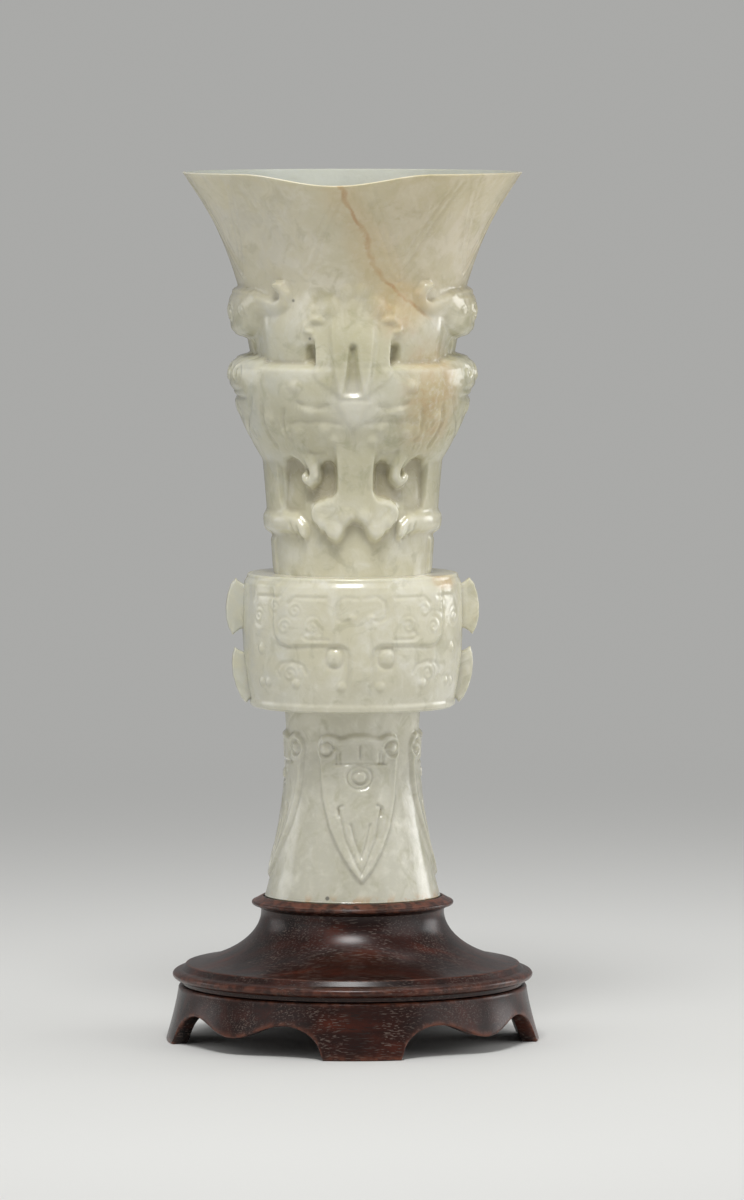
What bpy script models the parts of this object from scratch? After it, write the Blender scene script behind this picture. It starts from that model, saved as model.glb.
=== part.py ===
"""Carved jade beaker vase on its turned hardwood stand.

Metres, +Z up, front towards -Y. The origin is on the floor under the middle of the stand.
The vase is one hollowed stone: a trumpet mouth, a masked belly, a flanged knop and a flared foot.
The stand is a turned top with a seat for the vase, glued on an apron ring with bracket feet.
"""
import math

import bmesh
import bpy
from mathutils import Vector

# Fits and facets
FIT_GAP = 0.0003
TURN_SEGMENTS = 48
SECTOR_STEPS = 6

# Apron ring of the stand, with bracket feet and hanging lobes between them
APRON_RADIUS = 0.0483
APRON_HEIGHT = 0.0154
APRON_WALL = 0.0045
FOOT_FLARE = 0.0036
FLARE_POWER = 1.3
FOOT_COUNT = 4
FOOT_WIDTH = 0.0226
ARCH_RISE = 0.0088
ARCH_PEAK_SHARE = 0.57
PENDANT_RISE = 0.0046

# Turned top of the stand, from its glued spigot up to the collar round the seat
SPIGOT_HEIGHT = 0.0030
SPIGOT_WALL = 0.0032
WAIST_HEIGHT = 0.0011
WAIST_INSET = 0.0011
TORUS_HEIGHT = 0.0030
TORUS_OVERHANG = 0.0017
FILLET_HEIGHT = 0.0015
FILLET_INSET = 0.0021
FILLET_SLOPE = 0.0012
COVE_HEIGHT = 0.0147
COVE_POWER = 2.1
COVE_SLOPE_DROP = 0.0030
COLLAR_HEIGHT = 0.0041
COLLAR_OVERHANG = 0.0033
COLLAR_FLAT = 0.0006
COLLAR_SLOPE_DROP = 0.0012
COLLAR_EDGE_HEIGHT = 0.0013
COLLAR_EDGE_ROUND = 0.0005
COLLAR_UNDERCUT = 0.0006
COLLAR_NECK_OUTSET = 0.0007
SEAT_DEPTH = 0.0005
SEAT_FLOOR = 0.0060

# Foot of the vase
FOOT_HEIGHT = 0.0529
FOOT_BASE_RADIUS = 0.0244
FOOT_WAIST_RADIUS = 0.0181
FOOT_TOP_RADIUS = 0.0189
FOOT_WAIST_RISE = 0.0351
FOOT_POWER = 1.5
FOOT_WALL = 0.0055
FOOT_HOLLOW_DEPTH = 0.0240

# Four hanging leaves round the foot
LEAF_COUNT = 4
LEAF_PROUD = 0.0009
LEAF_HALF_WIDTH = 0.0106
LEAF_TIP_RISE = 0.0060
LEAF_TOP_DROP = 0.0066
LEAF_VOLUTE_RADIUS = 0.0023
LEAF_VOLUTE_TURN = math.radians(140.0)
LEAF_VOLUTE_OUTSET_SHARE = 0.33
LEAF_SADDLE = 0.0008
LEAF_CREST_HALF_WIDTH = 0.0012
LEAF_TIP_HALF_WIDTH = 0.0005
LEAF_WAIST_SHARE = 0.8
LEAF_SIDE_SHARE = 0.4
LEAF_POINT_SHARES = (0.55, 0.2)

# Knop and its side flanges
KNOP_HEIGHT = 0.0371
KNOP_RADIUS = 0.0305
KNOP_BASE_RADIUS = 0.0277
KNOP_TOP_RADIUS = 0.0298
KNOP_SWELL_RISE = 0.0230
KNOP_ROUND = 0.0018
FLANGE_THICKNESS = 0.0040
FLANGE_ROOT = 0.0030
FLANGE_UPPER_PROUD = 0.0048
FLANGE_LOWER_PROUD = 0.0036
FLANGE_CUSP_PROUD = 0.0024
FLANGE_END_DROP = 0.0012
FLANGE_SPLIT_RISE = 0.0182
FLANGE_SPLIT_GAP = 0.0034
FLANGE_HOOK = 0.0013

# Trumpet of the vase: neck, masked belly and flared mouth
NECK_HEIGHT = 0.0296
NECK_RADIUS = 0.0214
NECK_TAPER = 0.05
BELLY_HEIGHT = 0.0302
BELLY_SHOULDER_PROUD = 0.0052
BELLY_SWELL_PROUD = 0.0085
BELLY_FLANK_PROUD = 0.0069
BELLY_SWELL_DROP_SHARE = 0.25
BELLY_FLANK_RISE_SHARE = 0.333
MOUTH_HEIGHT = 0.0511
MOUTH_RADIUS = 0.0471
FLARE_LENGTH = 0.0280
LIP_THICKNESS = 0.0014
LIP_DIP_DEPTH = 0.0030
LIP_DIP_HALF_WIDTH = 0.0270
BORE_WALL = 0.0065
BORE_BELOW_NECK = 0.0060
BORE_ROUND = 0.0050

# Carving round the belly: face, horns, trunk, fangs and claws. An outline point is half a width
# and a rise. A path point is the degrees round from its start, a rise and the stem's radius there
CARVING_ROOT = 0.0020
HORN_RISE = 0.0123
HORN_SUNK_SHARE = 0.25
HORN_HALF_PATH = (
    (0.0, 0.0000, 0.0064),
    (20.0, 0.0020, 0.0053),
    (34.0, 0.0024, 0.0037),
    (44.0, 0.0014, 0.0027),
    (50.5, 0.0034, 0.0022),
    (52.0, 0.0082, 0.0015),
)
CLAW_RISE = 0.0141
CLAW_HALF_PATH = (
    (0.0, 0.0000, 0.0027),
    (26.0, 0.0002, 0.0021),
    (50.0, 0.0000, 0.0026),
)
FANG_PATH = (
    (31.5, 0.0042, 0.0018),
    (26.0, 0.0023, 0.0018),
    (24.6, -0.0004, 0.0017),
    (27.6, -0.0030, 0.0016),
    (32.6, -0.0027, 0.0014),
    (34.5, -0.0010, 0.0011),
)
STEM_SUNK_SHARE = 0.1
FACE_PROUD = 0.0040
FACE_HALF_OUTLINE = (
    (0.0020, 0.0150),
    (0.0060, 0.0172),
    (0.0105, 0.0160),
    (0.0150, 0.0112),
    (0.0145, 0.0075),
    (0.0100, 0.0055),
    (0.0085, 0.0010),
    (0.0085, -0.0020),
)
TRUNK_PROUD = 0.0020
TRUNK_HALF_OUTLINE = (
    (0.0058, 0.0036),
    (0.0054, -0.0012),
    (0.0057, -0.0053),
    (0.0078, -0.0075),
    (0.0115, -0.0096),
    (0.0123, -0.0122),
    (0.0095, -0.0155),
    (0.0061, -0.0177),
    (0.0032, -0.0163),
    (0.0024, -0.0136),
)

# Finishes seen in the photograph
JADE_COLOUR = (0.60, 0.60, 0.44, 1.0)
JADE_ROUGHNESS = 0.18
WOOD_COLOUR = (0.055, 0.020, 0.013, 1.0)
WOOD_ROUGHNESS = 0.32

# Heights above the floor that stack up from the sizes
JOINT_Z = APRON_HEIGHT + FIT_GAP
WAIST_TOP = JOINT_Z + WAIST_HEIGHT
TORUS_TOP = WAIST_TOP + TORUS_HEIGHT
FILLET_TOP = TORUS_TOP + FILLET_HEIGHT
COVE_TOP = FILLET_TOP + COVE_HEIGHT
COLLAR_TOP = COVE_TOP + COLLAR_HEIGHT
SEAT_Z = COLLAR_TOP - SEAT_DEPTH
VASE_BASE = SEAT_Z + FIT_GAP

# Heights above the base of the vase
KNOP_TOP = FOOT_HEIGHT + KNOP_HEIGHT
BELLY_BOTTOM = KNOP_TOP + NECK_HEIGHT
BELLY_TOP = BELLY_BOTTOM + BELLY_HEIGHT
VASE_HEIGHT = BELLY_TOP + MOUTH_HEIGHT
BORE_BOTTOM = KNOP_TOP - BORE_BELOW_NECK


def clear_scene():
    """Removes whatever the file opened with."""
    for item in list(bpy.data.objects):
        bpy.data.objects.remove(item, do_unlink=True)


def finish(name, colour, roughness):
    """Plain material with a colour and a gloss."""
    made = bpy.data.materials.new(name)
    made.use_nodes = True
    shader = made.node_tree.nodes["Principled BSDF"]
    shader.inputs["Base Color"].default_value = colour
    shader.inputs["Roughness"].default_value = roughness
    shader.inputs["Metallic"].default_value = 0.0
    return made


def add_object(name, shape, parent=None):
    """Object from a bmesh, merged and facing out."""
    bmesh.ops.remove_doubles(shape, verts=shape.verts, dist=FIT_GAP / 1000)
    bmesh.ops.recalc_face_normals(shape, faces=shape.faces)
    mesh = bpy.data.meshes.new(name)
    shape.to_mesh(mesh)
    shape.free()
    item = bpy.data.objects.new(name, mesh)
    item.parent = parent
    bpy.context.scene.collection.objects.link(item)
    return item


def dress(item, material):
    """Gives a finished piece its material and smooth shading."""
    item.data.materials.append(material)
    item.data.shade_smooth()
    item.data.set_sharp_from_angle(angle=math.radians(35.0))


def turned(name, profile, parent=None):
    """Profile of (radius, height) points turned about the upright axis."""
    shape = bmesh.new()
    points = [shape.verts.new((radius, 0.0, height)) for radius, height in profile]
    for first, second in zip(points, points[1:]):
        shape.edges.new((first, second))
    if profile[0][0] > 0.0:
        shape.edges.new((points[-1], points[0]))
    bmesh.ops.spin(
        shape,
        geom=shape.verts[:] + shape.edges[:],
        cent=(0.0, 0.0, 0.0),
        axis=(0.0, 0.0, 1.0),
        angle=math.tau,
        steps=TURN_SEGMENTS,
    )
    return add_object(name, shape, parent)


def prism(name, outline, near, far, parent=None):
    """Outline of (x, z) points carried along Y from near to far."""
    shape = bmesh.new()
    face = shape.faces.new([shape.verts.new((x, near, z)) for x, z in outline])
    grown = bmesh.ops.extrude_face_region(shape, geom=[face])
    moved = [part for part in grown["geom"] if isinstance(part, bmesh.types.BMVert)]
    bmesh.ops.translate(shape, verts=moved, vec=(0.0, far - near, 0.0))
    return add_object(name, shape, parent)


def as_tool(item):
    """Marks a solid that only joins, trims or cuts another one."""
    item.hide_render = True
    item.display_type = "WIRE"
    return item


def combine(target, tool, operation):
    """Adds a Boolean of the tool to the target."""
    step = target.modifiers.new(tool.name, "BOOLEAN")
    step.operation = operation
    step.solver = "EXACT"
    step.object = as_tool(tool)


def between(start, end, steps):
    """Evenly spaced values from start to end, both included."""
    return [start + (end - start) * step / steps for step in range(steps + 1)]


def bezier(corners, steps):
    """Points along a cubic curve with four (radius, height) corners."""
    first, second, third, fourth = [Vector(corner) for corner in corners]
    points = []
    for share in between(0.0, 1.0, steps):
        rest = 1.0 - share
        point = first * rest**3 + second * 3 * rest**2 * share
        point += third * 3 * rest * share**2 + fourth * share**3
        points.append((point.x, point.y))
    return points


def smooth_path(path, steps):
    """Catmull-Rom points through a path, with its ends kept."""
    padded = [Vector(point) for point in (path[0], *path, path[-1])]
    points = []
    for before, start, end, after in zip(padded, padded[1:], padded[2:], padded[3:]):
        for share in between(0.0, 1.0, steps)[:-1]:
            slope = (end - before) * 0.5
            leave = (after - start) * 0.5
            point = start * (2 * share**3 - 3 * share**2 + 1) + end * (3 * share**2 - 2 * share**3)
            point += slope * (share**3 - 2 * share**2 + share) + leave * (share**3 - share**2)
            points.append(point)
    points.append(padded[-1])
    return points


def apron_outer(height):
    """Outer radius of the apron, which flares towards the floor."""
    return APRON_RADIUS + FOOT_FLARE * (1.0 - height / APRON_HEIGHT) ** FLARE_POWER


def apron_edge(share):
    """Height of the apron's lower edge, from a foot's middle (0) to a pendant's middle (1).

    The foot is flat on the floor, a quarter ellipse climbs to the arch's peak,
    and a cosine falls from the peak to the pendant.
    """
    half_sector = math.pi / FOOT_COUNT
    foot_share = math.asin(FOOT_WIDTH / 2 / apron_outer(0.0)) / half_sector
    if share <= foot_share:
        return 0.0
    if share <= ARCH_PEAK_SHARE:
        back = (ARCH_PEAK_SHARE - share) / (ARCH_PEAK_SHARE - foot_share)
        return ARCH_RISE * math.sqrt(max(0.0, 1.0 - back * back))
    along = (share - ARCH_PEAK_SHARE) / (1.0 - ARCH_PEAK_SHARE)
    return PENDANT_RISE + (ARCH_RISE - PENDANT_RISE) * (1.0 + math.cos(math.pi * along)) / 2


def apron_shares():
    """Places across half a sector, closest together where the foot's side stands upright."""
    half_sector = math.pi / FOOT_COUNT
    foot_share = math.asin(FOOT_WIDTH / 2 / apron_outer(0.0)) / half_sector
    climb = [
        ARCH_PEAK_SHARE - (ARCH_PEAK_SHARE - foot_share) * math.cos(turn)
        for turn in between(0.0, math.pi / 2, SECTOR_STEPS)
    ]
    fall = between(ARCH_PEAK_SHARE, 1.0, SECTOR_STEPS)
    return between(0.0, foot_share, 2)[:-1] + climb + fall[1:]


def apron_columns():
    """Angle and lower edge of every column round the ring."""
    shares = apron_shares()
    half_sector = math.pi / FOOT_COUNT
    columns = []
    for foot in range(FOOT_COUNT):
        middle = foot * 2 * half_sector
        columns += [(middle + share * half_sector, apron_edge(share)) for share in shares[:-1]]
        columns += [(middle + (2.0 - share) * half_sector, apron_edge(share)) for share in shares[:0:-1]]
    return columns


def apron_section(edge):
    """Closed wall section at one column: down the outside, across the edge and up the inside."""
    outside = [(apron_outer(z), z) for z in between(APRON_HEIGHT, edge, 4)]
    inside = [(apron_outer(z) - APRON_WALL, z) for z in between(edge, APRON_HEIGHT, 4)]
    return outside + inside


def make_apron_ring():
    """Apron ring as wall sections joined from column to column."""
    shape = bmesh.new()
    loops = []
    for angle, edge in apron_columns():
        across = Vector((math.sin(angle), -math.cos(angle), 0.0))
        loops.append([shape.verts.new(across * r + Vector((0.0, 0.0, z))) for r, z in apron_section(edge)])
    for near, far in zip(loops, loops[1:] + loops[:1]):
        for place in range(len(near)):
            after = (place + 1) % len(near)
            shape.faces.new((near[place], near[after], far[after], far[place]))
    return add_object("apron_ring", shape)


def half_round(radius, low, high, reach):
    """Points of a half ellipse that swells outwards between two heights, from the top down."""
    middle = (low + high) / 2
    half = (high - low) / 2
    turns = between(math.pi / 2, -math.pi / 2, 6)
    return [(radius + reach * math.cos(turn), middle + half * math.sin(turn)) for turn in turns]


def cove(inner, outer, low, high):
    """Hollow curve from its upright top to its foot: a superellipse on an even slope."""
    points = []
    for turn in between(0.0, math.pi / 2, 8):
        run = 1.0 - math.cos(turn) ** (2.0 / COVE_POWER)
        fall = 1.0 - math.sin(turn) ** (2.0 / COVE_POWER)
        height = low + COVE_SLOPE_DROP * (1.0 - run) + (high - low - COVE_SLOPE_DROP) * fall
        points.append((inner + (outer - inner) * run, height))
    return points


def collar(seat, neck):
    """Collar round the seat: a flat, a sloping top, a rounded edge and an undercut back to the neck."""
    outer = seat + COLLAR_OVERHANG
    edge_top = COLLAR_TOP - COLLAR_SLOPE_DROP
    edge_foot = edge_top - COLLAR_EDGE_HEIGHT
    return [
        (seat, COLLAR_TOP),
        (seat + COLLAR_FLAT, COLLAR_TOP),
        (outer - COLLAR_EDGE_ROUND, edge_top),
        (outer, edge_top - COLLAR_EDGE_ROUND),
        (outer, edge_foot + COLLAR_EDGE_ROUND),
        (outer - COLLAR_EDGE_ROUND, edge_foot),
        (neck, COVE_TOP + COLLAR_UNDERCUT),
    ]


def make_stand_top():
    """Turned top: seat, collar, cove, fillet, torus, recessed waist, spigot and hollow."""
    seat = FOOT_BASE_RADIUS + FIT_GAP
    neck = seat + COLLAR_NECK_OUTSET
    fillet = APRON_RADIUS - FILLET_INSET
    torus_root = fillet + FILLET_SLOPE
    torus = APRON_RADIUS + TORUS_OVERHANG
    waist = APRON_RADIUS - WAIST_INSET
    spigot = APRON_RADIUS - APRON_WALL - FIT_GAP
    hollow = spigot - SPIGOT_WALL
    spigot_foot = JOINT_Z - SPIGOT_HEIGHT
    ceiling = SEAT_Z - SEAT_FLOOR
    inner_neck = neck - (fillet - hollow)
    profile = [(0.0, SEAT_Z), (seat, SEAT_Z)]
    profile += collar(seat, neck)
    profile += cove(neck, fillet, FILLET_TOP, COVE_TOP)
    profile += half_round(torus_root, WAIST_TOP, TORUS_TOP, torus - torus_root)
    profile += [(waist, WAIST_TOP), (waist, JOINT_Z), (spigot, JOINT_Z), (spigot, spigot_foot)]
    profile += [(hollow, spigot_foot)]
    profile += cove(inner_neck, hollow, JOINT_Z, ceiling)[::-1]
    profile += [(0.0, ceiling)]
    return turned("stand_top", profile)


def foot_radius(height):
    """Outer radius of the foot: a power flare below its waist and a slight swell above it."""
    if height < FOOT_WAIST_RISE:
        flare = ((FOOT_WAIST_RISE - height) / FOOT_WAIST_RISE) ** FOOT_POWER
        return FOOT_WAIST_RADIUS + (FOOT_BASE_RADIUS - FOOT_WAIST_RADIUS) * flare
    swell = ((height - FOOT_WAIST_RISE) / (FOOT_HEIGHT - FOOT_WAIST_RISE)) ** 2
    return FOOT_WAIST_RADIUS + (FOOT_TOP_RADIUS - FOOT_WAIST_RADIUS) * swell


def knop_radius(height):
    """Outer radius of the knop's barrel at a height above the base of the vase."""
    rise = height - FOOT_HEIGHT - KNOP_SWELL_RISE
    if rise < 0.0:
        return KNOP_RADIUS - (KNOP_RADIUS - KNOP_BASE_RADIUS) * (rise / KNOP_SWELL_RISE) ** 2
    above = KNOP_HEIGHT - KNOP_SWELL_RISE
    return KNOP_RADIUS - (KNOP_RADIUS - KNOP_TOP_RADIUS) * (rise / above) ** 2


def trumpet_radius(height):
    """Outer radius of the bare trumpet: a straight taper plus an exponential flare to the mouth."""
    rise = height - KNOP_TOP
    length = VASE_HEIGHT - KNOP_TOP
    fade = math.exp(-length / FLARE_LENGTH)
    flare = (MOUTH_RADIUS - NECK_RADIUS - NECK_TAPER * length) / (1.0 - fade)
    return NECK_RADIUS + NECK_TAPER * rise + flare * (math.exp((rise - length) / FLARE_LENGTH) - fade)


def bore_radius(height):
    """Inner radius of the trumpet, whose wall thickens evenly from the lip down."""
    deep = (VASE_HEIGHT - height) / (VASE_HEIGHT - BORE_BOTTOM)
    wall = LIP_THICKNESS + (BORE_WALL - LIP_THICKNESS) * deep
    return trumpet_radius(max(height, KNOP_TOP)) - wall


def bore_profile():
    """Hollow of the trumpet, from above the lip down its wall to the middle of its round bottom."""
    low = BORE_BOTTOM + BORE_ROUND
    edge = bore_radius(low)
    above = VASE_HEIGHT + BORE_ROUND
    wall = [(bore_radius(z), z) for z in between(VASE_HEIGHT, low, 8)]
    points = [(0.0, above), (wall[0][0], above)] + wall
    for turn in between(math.pi / 2, 0.0, 3)[1:]:
        points.append((edge - BORE_ROUND * (1.0 - math.sin(turn)), low - BORE_ROUND * math.cos(turn)))
    return points + [(0.0, BORE_BOTTOM)]


def belly_profile():
    """Outer curve of the belly, from its shoulder ledge down to where it dies into the neck."""
    top = trumpet_radius(BELLY_TOP)
    bottom = trumpet_radius(BELLY_BOTTOM)
    corners = (
        (top + BELLY_SHOULDER_PROUD, BELLY_TOP),
        (top + BELLY_SWELL_PROUD, BELLY_TOP - BELLY_HEIGHT * BELLY_SWELL_DROP_SHARE),
        (bottom + BELLY_FLANK_PROUD, BELLY_BOTTOM + BELLY_HEIGHT * BELLY_FLANK_RISE_SHARE),
        (bottom, BELLY_BOTTOM),
    )
    return bezier(corners, 7)


def knop_profile():
    """Knop from its flat top over a rounded edge and down its barrel to the underside."""
    low_round = KNOP_TOP - KNOP_ROUND
    edge = knop_radius(low_round)
    points = []
    for turn in between(math.pi / 2, 0.0, 3)[:-1]:
        points.append((edge - KNOP_ROUND * (1.0 - math.cos(turn)), low_round + KNOP_ROUND * math.sin(turn)))
    return points + [(knop_radius(z), z) for z in between(low_round, FOOT_HEIGHT, 6)]


def foot_hollow_profile():
    """Domed hollow under the foot, from its rim up to the middle."""
    rim = FOOT_BASE_RADIUS - FOOT_WALL
    turns = between(0.0, math.pi / 2, 4)
    points = [(rim * math.cos(turn), FOOT_HOLLOW_DEPTH * math.sin(turn)) for turn in turns[:-1]]
    return points + [(0.0, FOOT_HOLLOW_DEPTH)]


def vase_profile():
    """Section of the uncut vase, from the middle of its top round to the top of the foot's hollow."""
    mouth = [(trumpet_radius(z), z) for z in between(VASE_HEIGHT, BELLY_TOP, 9)]
    neck = [(trumpet_radius(z), z) for z in between(BELLY_BOTTOM, KNOP_TOP, 3)]
    foot = [(foot_radius(z), z) for z in between(FOOT_HEIGHT, 0.0, 8)]
    outside = mouth + belly_profile() + neck[1:] + knop_profile() + foot
    return [(0.0, VASE_HEIGHT)] + outside + foot_hollow_profile()


def flange_lobe(low, high, swell):
    """Outline of one flange lobe: a bowed outer edge between hooked cusps, with its root in the knop."""
    root = KNOP_BASE_RADIUS - FLANGE_ROOT
    outline = [(root, low + FLANGE_HOOK), (knop_radius(low), low + FLANGE_HOOK)]
    for share in between(0.0, 1.0, 8):
        height = low + (high - low) * share
        bow = 4 * share * (1.0 - share)
        outline.append((knop_radius(height) + FLANGE_CUSP_PROUD + (swell - FLANGE_CUSP_PROUD) * bow, height))
    outline += [(knop_radius(high), high - FLANGE_HOOK), (root, high - FLANGE_HOOK)]
    return outline


def add_flanges(vase):
    """Two lobes at each side of the knop."""
    split_top = FOOT_HEIGHT + FLANGE_SPLIT_RISE + FLANGE_SPLIT_GAP / 2
    split_bottom = split_top - FLANGE_SPLIT_GAP
    lobes = {
        "upper": flange_lobe(split_top, KNOP_TOP - FLANGE_END_DROP, FLANGE_UPPER_PROUD),
        "lower": flange_lobe(FOOT_HEIGHT + FLANGE_END_DROP, split_bottom, FLANGE_LOWER_PROUD),
    }
    for level, outline in lobes.items():
        for side in (0, 1):
            lobe = prism(f"flange_{level}_{side}", outline, -FLANGE_THICKNESS / 2, FLANGE_THICKNESS / 2, vase)
            lobe.rotation_euler.z = math.pi * side
            combine(vase, lobe, "UNION")


def leaf_outline():
    """Hanging leaf: a volute at each upper corner, a saddle between them and sides that run to a blunt tip."""
    top = FOOT_HEIGHT - LEAF_TOP_DROP
    volute_x = LEAF_HALF_WIDTH - LEAF_VOLUTE_RADIUS * (1.0 - LEAF_VOLUTE_OUTSET_SHARE)
    volute_z = top - LEAF_VOLUTE_RADIUS
    curl = [
        (volute_x + LEAF_VOLUTE_RADIUS * math.sin(turn), volute_z + LEAF_VOLUTE_RADIUS * math.cos(turn))
        for turn in between(0.0, LEAF_VOLUTE_TURN, 5)
    ]
    waist = LEAF_TIP_RISE + (top - LEAF_TIP_RISE) * LEAF_WAIST_SHARE
    side_length = waist - LEAF_TIP_RISE
    point_width, point_rise = LEAF_POINT_SHARES
    side = bezier(
        (
            (LEAF_HALF_WIDTH, waist),
            (LEAF_HALF_WIDTH, LEAF_TIP_RISE + side_length * LEAF_SIDE_SHARE),
            (LEAF_HALF_WIDTH * point_width, LEAF_TIP_RISE + side_length * point_rise),
            (LEAF_TIP_HALF_WIDTH, LEAF_TIP_RISE),
        ),
        6,
    )
    right = [(LEAF_CREST_HALF_WIDTH, top), (volute_x / 2, top - LEAF_SADDLE)] + curl + side
    return right + [(-x, z) for x, z in right[::-1]]


def skin_band(name, radius_at, low, high, proud, vase):
    """Ring that follows a turned surface, rooted in the stone and proud of it."""
    heights = between(high, low, 8)
    outside = [(radius_at(z) + proud, z) for z in heights]
    inside = [(radius_at(z) - CARVING_ROOT, z) for z in heights[::-1]]
    return turned(name, outside + inside, vase)


def add_leaves(vase):
    """Leaf-shaped patches of a proud skin round the foot."""
    skin = skin_band("foot_skin", foot_radius, LEAF_TIP_RISE / 2, FOOT_HEIGHT - LEAF_TOP_DROP / 2, LEAF_PROUD, vase)
    for place in range(LEAF_COUNT):
        leaf = prism(f"leaf_{place}", leaf_outline(), -2 * FOOT_BASE_RADIUS, -FOOT_WAIST_RADIUS / 2, vase)
        leaf.rotation_euler.z = math.tau * place / LEAF_COUNT
        combine(leaf, skin, "INTERSECT")
        combine(vase, leaf, "UNION")


def add_patches(name, half_outline, start_height, proud, vase):
    """Patch of a proud skin with a mirrored outline, at the front and at the back of the trumpet."""
    right = [(x, start_height + rise) for x, rise in half_outline]
    outline = right + [(-x, z) for x, z in right[::-1]]
    low = min(z for _, z in outline) - CARVING_ROOT
    high = max(z for _, z in outline) + CARVING_ROOT
    skin = skin_band(name + "_skin", trumpet_radius, low, high, proud, vase)
    for side in (0, 1):
        patch = prism(f"{name}_{side}", outline, -2 * MOUTH_RADIUS, -NECK_RADIUS / 2, vase)
        patch.rotation_euler.z = math.pi * side
        combine(patch, skin, "INTERSECT")
        combine(vase, patch, "UNION")


def stem(name, path, start_height, sunk_share, vase):
    """Round tapering stem that lies along the trumpet on a path of (degrees, rise, radius) points."""
    curve = bpy.data.curves.new(name, "CURVE")
    curve.dimensions = "3D"
    curve.bevel_depth = 1.0
    curve.bevel_resolution = 2
    curve.use_fill_caps = True
    points = smooth_path(path, 2)
    spline = curve.splines.new("POLY")
    spline.points.add(len(points) - 1)
    for place, (degrees, rise, radius) in zip(spline.points, points):
        height = start_height + rise
        distance = trumpet_radius(height) - radius * sunk_share
        angle = math.radians(degrees)
        place.co = (distance * math.sin(angle), -distance * math.cos(angle), height, 1.0)
        place.radius = radius
    guide = bpy.data.objects.new(name + "_guide", curve)
    bpy.context.scene.collection.objects.link(guide)
    shape = bmesh.new()
    shape.from_mesh(guide.evaluated_get(bpy.context.evaluated_depsgraph_get()).to_mesh())
    bpy.data.objects.remove(guide, do_unlink=True)
    solid = add_object(name, shape, vase)
    combine(vase, solid, "UNION")
    return solid


def both_ways(half_path, middle):
    """Path that runs from one end through its middle to a mirrored end, turned to a middle angle."""
    ahead = [(middle + degrees, rise, radius) for degrees, rise, radius in half_path]
    behind = [(middle - degrees, rise, radius) for degrees, rise, radius in half_path[:0:-1]]
    return behind + ahead


def add_stems(vase):
    """Horns and claws that wrap each side, and fangs under the belly at the front and back."""
    for side in (0, 1):
        middle = 90.0 + 180.0 * side
        stem(f"horn_{side}", both_ways(HORN_HALF_PATH, middle), BELLY_TOP + HORN_RISE, HORN_SUNK_SHARE, vase)
        stem(f"claw_{side}", both_ways(CLAW_HALF_PATH, middle), KNOP_TOP + CLAW_RISE, STEM_SUNK_SHARE, vase)
        for hand in (-1, 1):
            path = [(180.0 * side + hand * degrees, rise, radius) for degrees, rise, radius in FANG_PATH]
            stem(f"fang_{side}_{hand + 1}", path, BELLY_BOTTOM, STEM_SUNK_SHARE, vase)


def cut_lip_dip(vase):
    """Shallow dip ground into the front of the lip, the arc of a large circle."""
    sweep = (LIP_DIP_HALF_WIDTH**2 + LIP_DIP_DEPTH**2) / (2 * LIP_DIP_DEPTH)
    centre = VASE_HEIGHT - LIP_DIP_DEPTH + sweep
    reach = 2 * math.asin(LIP_DIP_HALF_WIDTH / sweep)
    arc = [
        (sweep * math.sin(turn), centre - sweep * math.cos(turn))
        for turn in between(-reach, reach, 16)
    ]
    top = VASE_HEIGHT + sweep
    outline = arc + [(arc[-1][0], top), (arc[0][0], top)]
    combine(vase, prism("lip_dip", outline, -2 * MOUTH_RADIUS, -NECK_RADIUS / 2, vase), "DIFFERENCE")


def make_vase():
    """Hollow turned stone with its flanges, leaves and mask carved in one with it."""
    vase = turned("vase", vase_profile())
    vase.location.z = VASE_BASE
    bpy.context.view_layer.update()
    add_flanges(vase)
    add_leaves(vase)
    add_patches("face", FACE_HALF_OUTLINE, BELLY_TOP, FACE_PROUD, vase)
    add_patches("trunk", TRUNK_HALF_OUTLINE, BELLY_BOTTOM, TRUNK_PROUD, vase)
    add_stems(vase)
    combine(vase, turned("bore", bore_profile(), vase), "DIFFERENCE")
    cut_lip_dip(vase)
    return vase


def main():
    """Builds the three pieces where they stand."""
    clear_scene()
    wood = finish("hardwood", WOOD_COLOUR, WOOD_ROUGHNESS)
    dress(make_apron_ring(), wood)
    dress(make_stand_top(), wood)
    dress(make_vase(), finish("jade", JADE_COLOUR, JADE_ROUGHNESS))


main()
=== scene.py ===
"""Looks of a carved jade beaker vase on its turned hardwood stand.

Metres, +Z up, front towards -Y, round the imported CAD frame. A piece is a surface on a grid of two
parameters: a turned profile, a turned profile that stands out or sinks by a carved relief, or an
outline rounded over into a slab.
"""
import math
from types import SimpleNamespace

import bpy
import numpy as np
from bpy.props import FloatProperty, FloatVectorProperty, PointerProperty
from bpy.types import Operator, Panel, PropertyGroup
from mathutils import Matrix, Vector


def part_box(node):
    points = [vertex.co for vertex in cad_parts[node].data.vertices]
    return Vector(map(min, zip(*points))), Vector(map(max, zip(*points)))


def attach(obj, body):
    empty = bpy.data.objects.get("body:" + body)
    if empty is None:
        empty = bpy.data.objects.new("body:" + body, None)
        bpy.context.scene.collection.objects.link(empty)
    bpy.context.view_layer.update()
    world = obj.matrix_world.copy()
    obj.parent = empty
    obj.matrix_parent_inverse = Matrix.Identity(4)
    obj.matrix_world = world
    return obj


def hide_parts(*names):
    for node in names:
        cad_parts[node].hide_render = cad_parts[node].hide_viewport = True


bl_info = {
    "name": "Jade Vase on Stand",
    "version": (1, 0, 0),
    "blender": (4, 5, 0),
    "location": "3D View > Sidebar > Jade Vase",
    "description": "Carves a jade beaker vase and turns its hardwood stand round a packed frame",
    "category": "Object",
}

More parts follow.
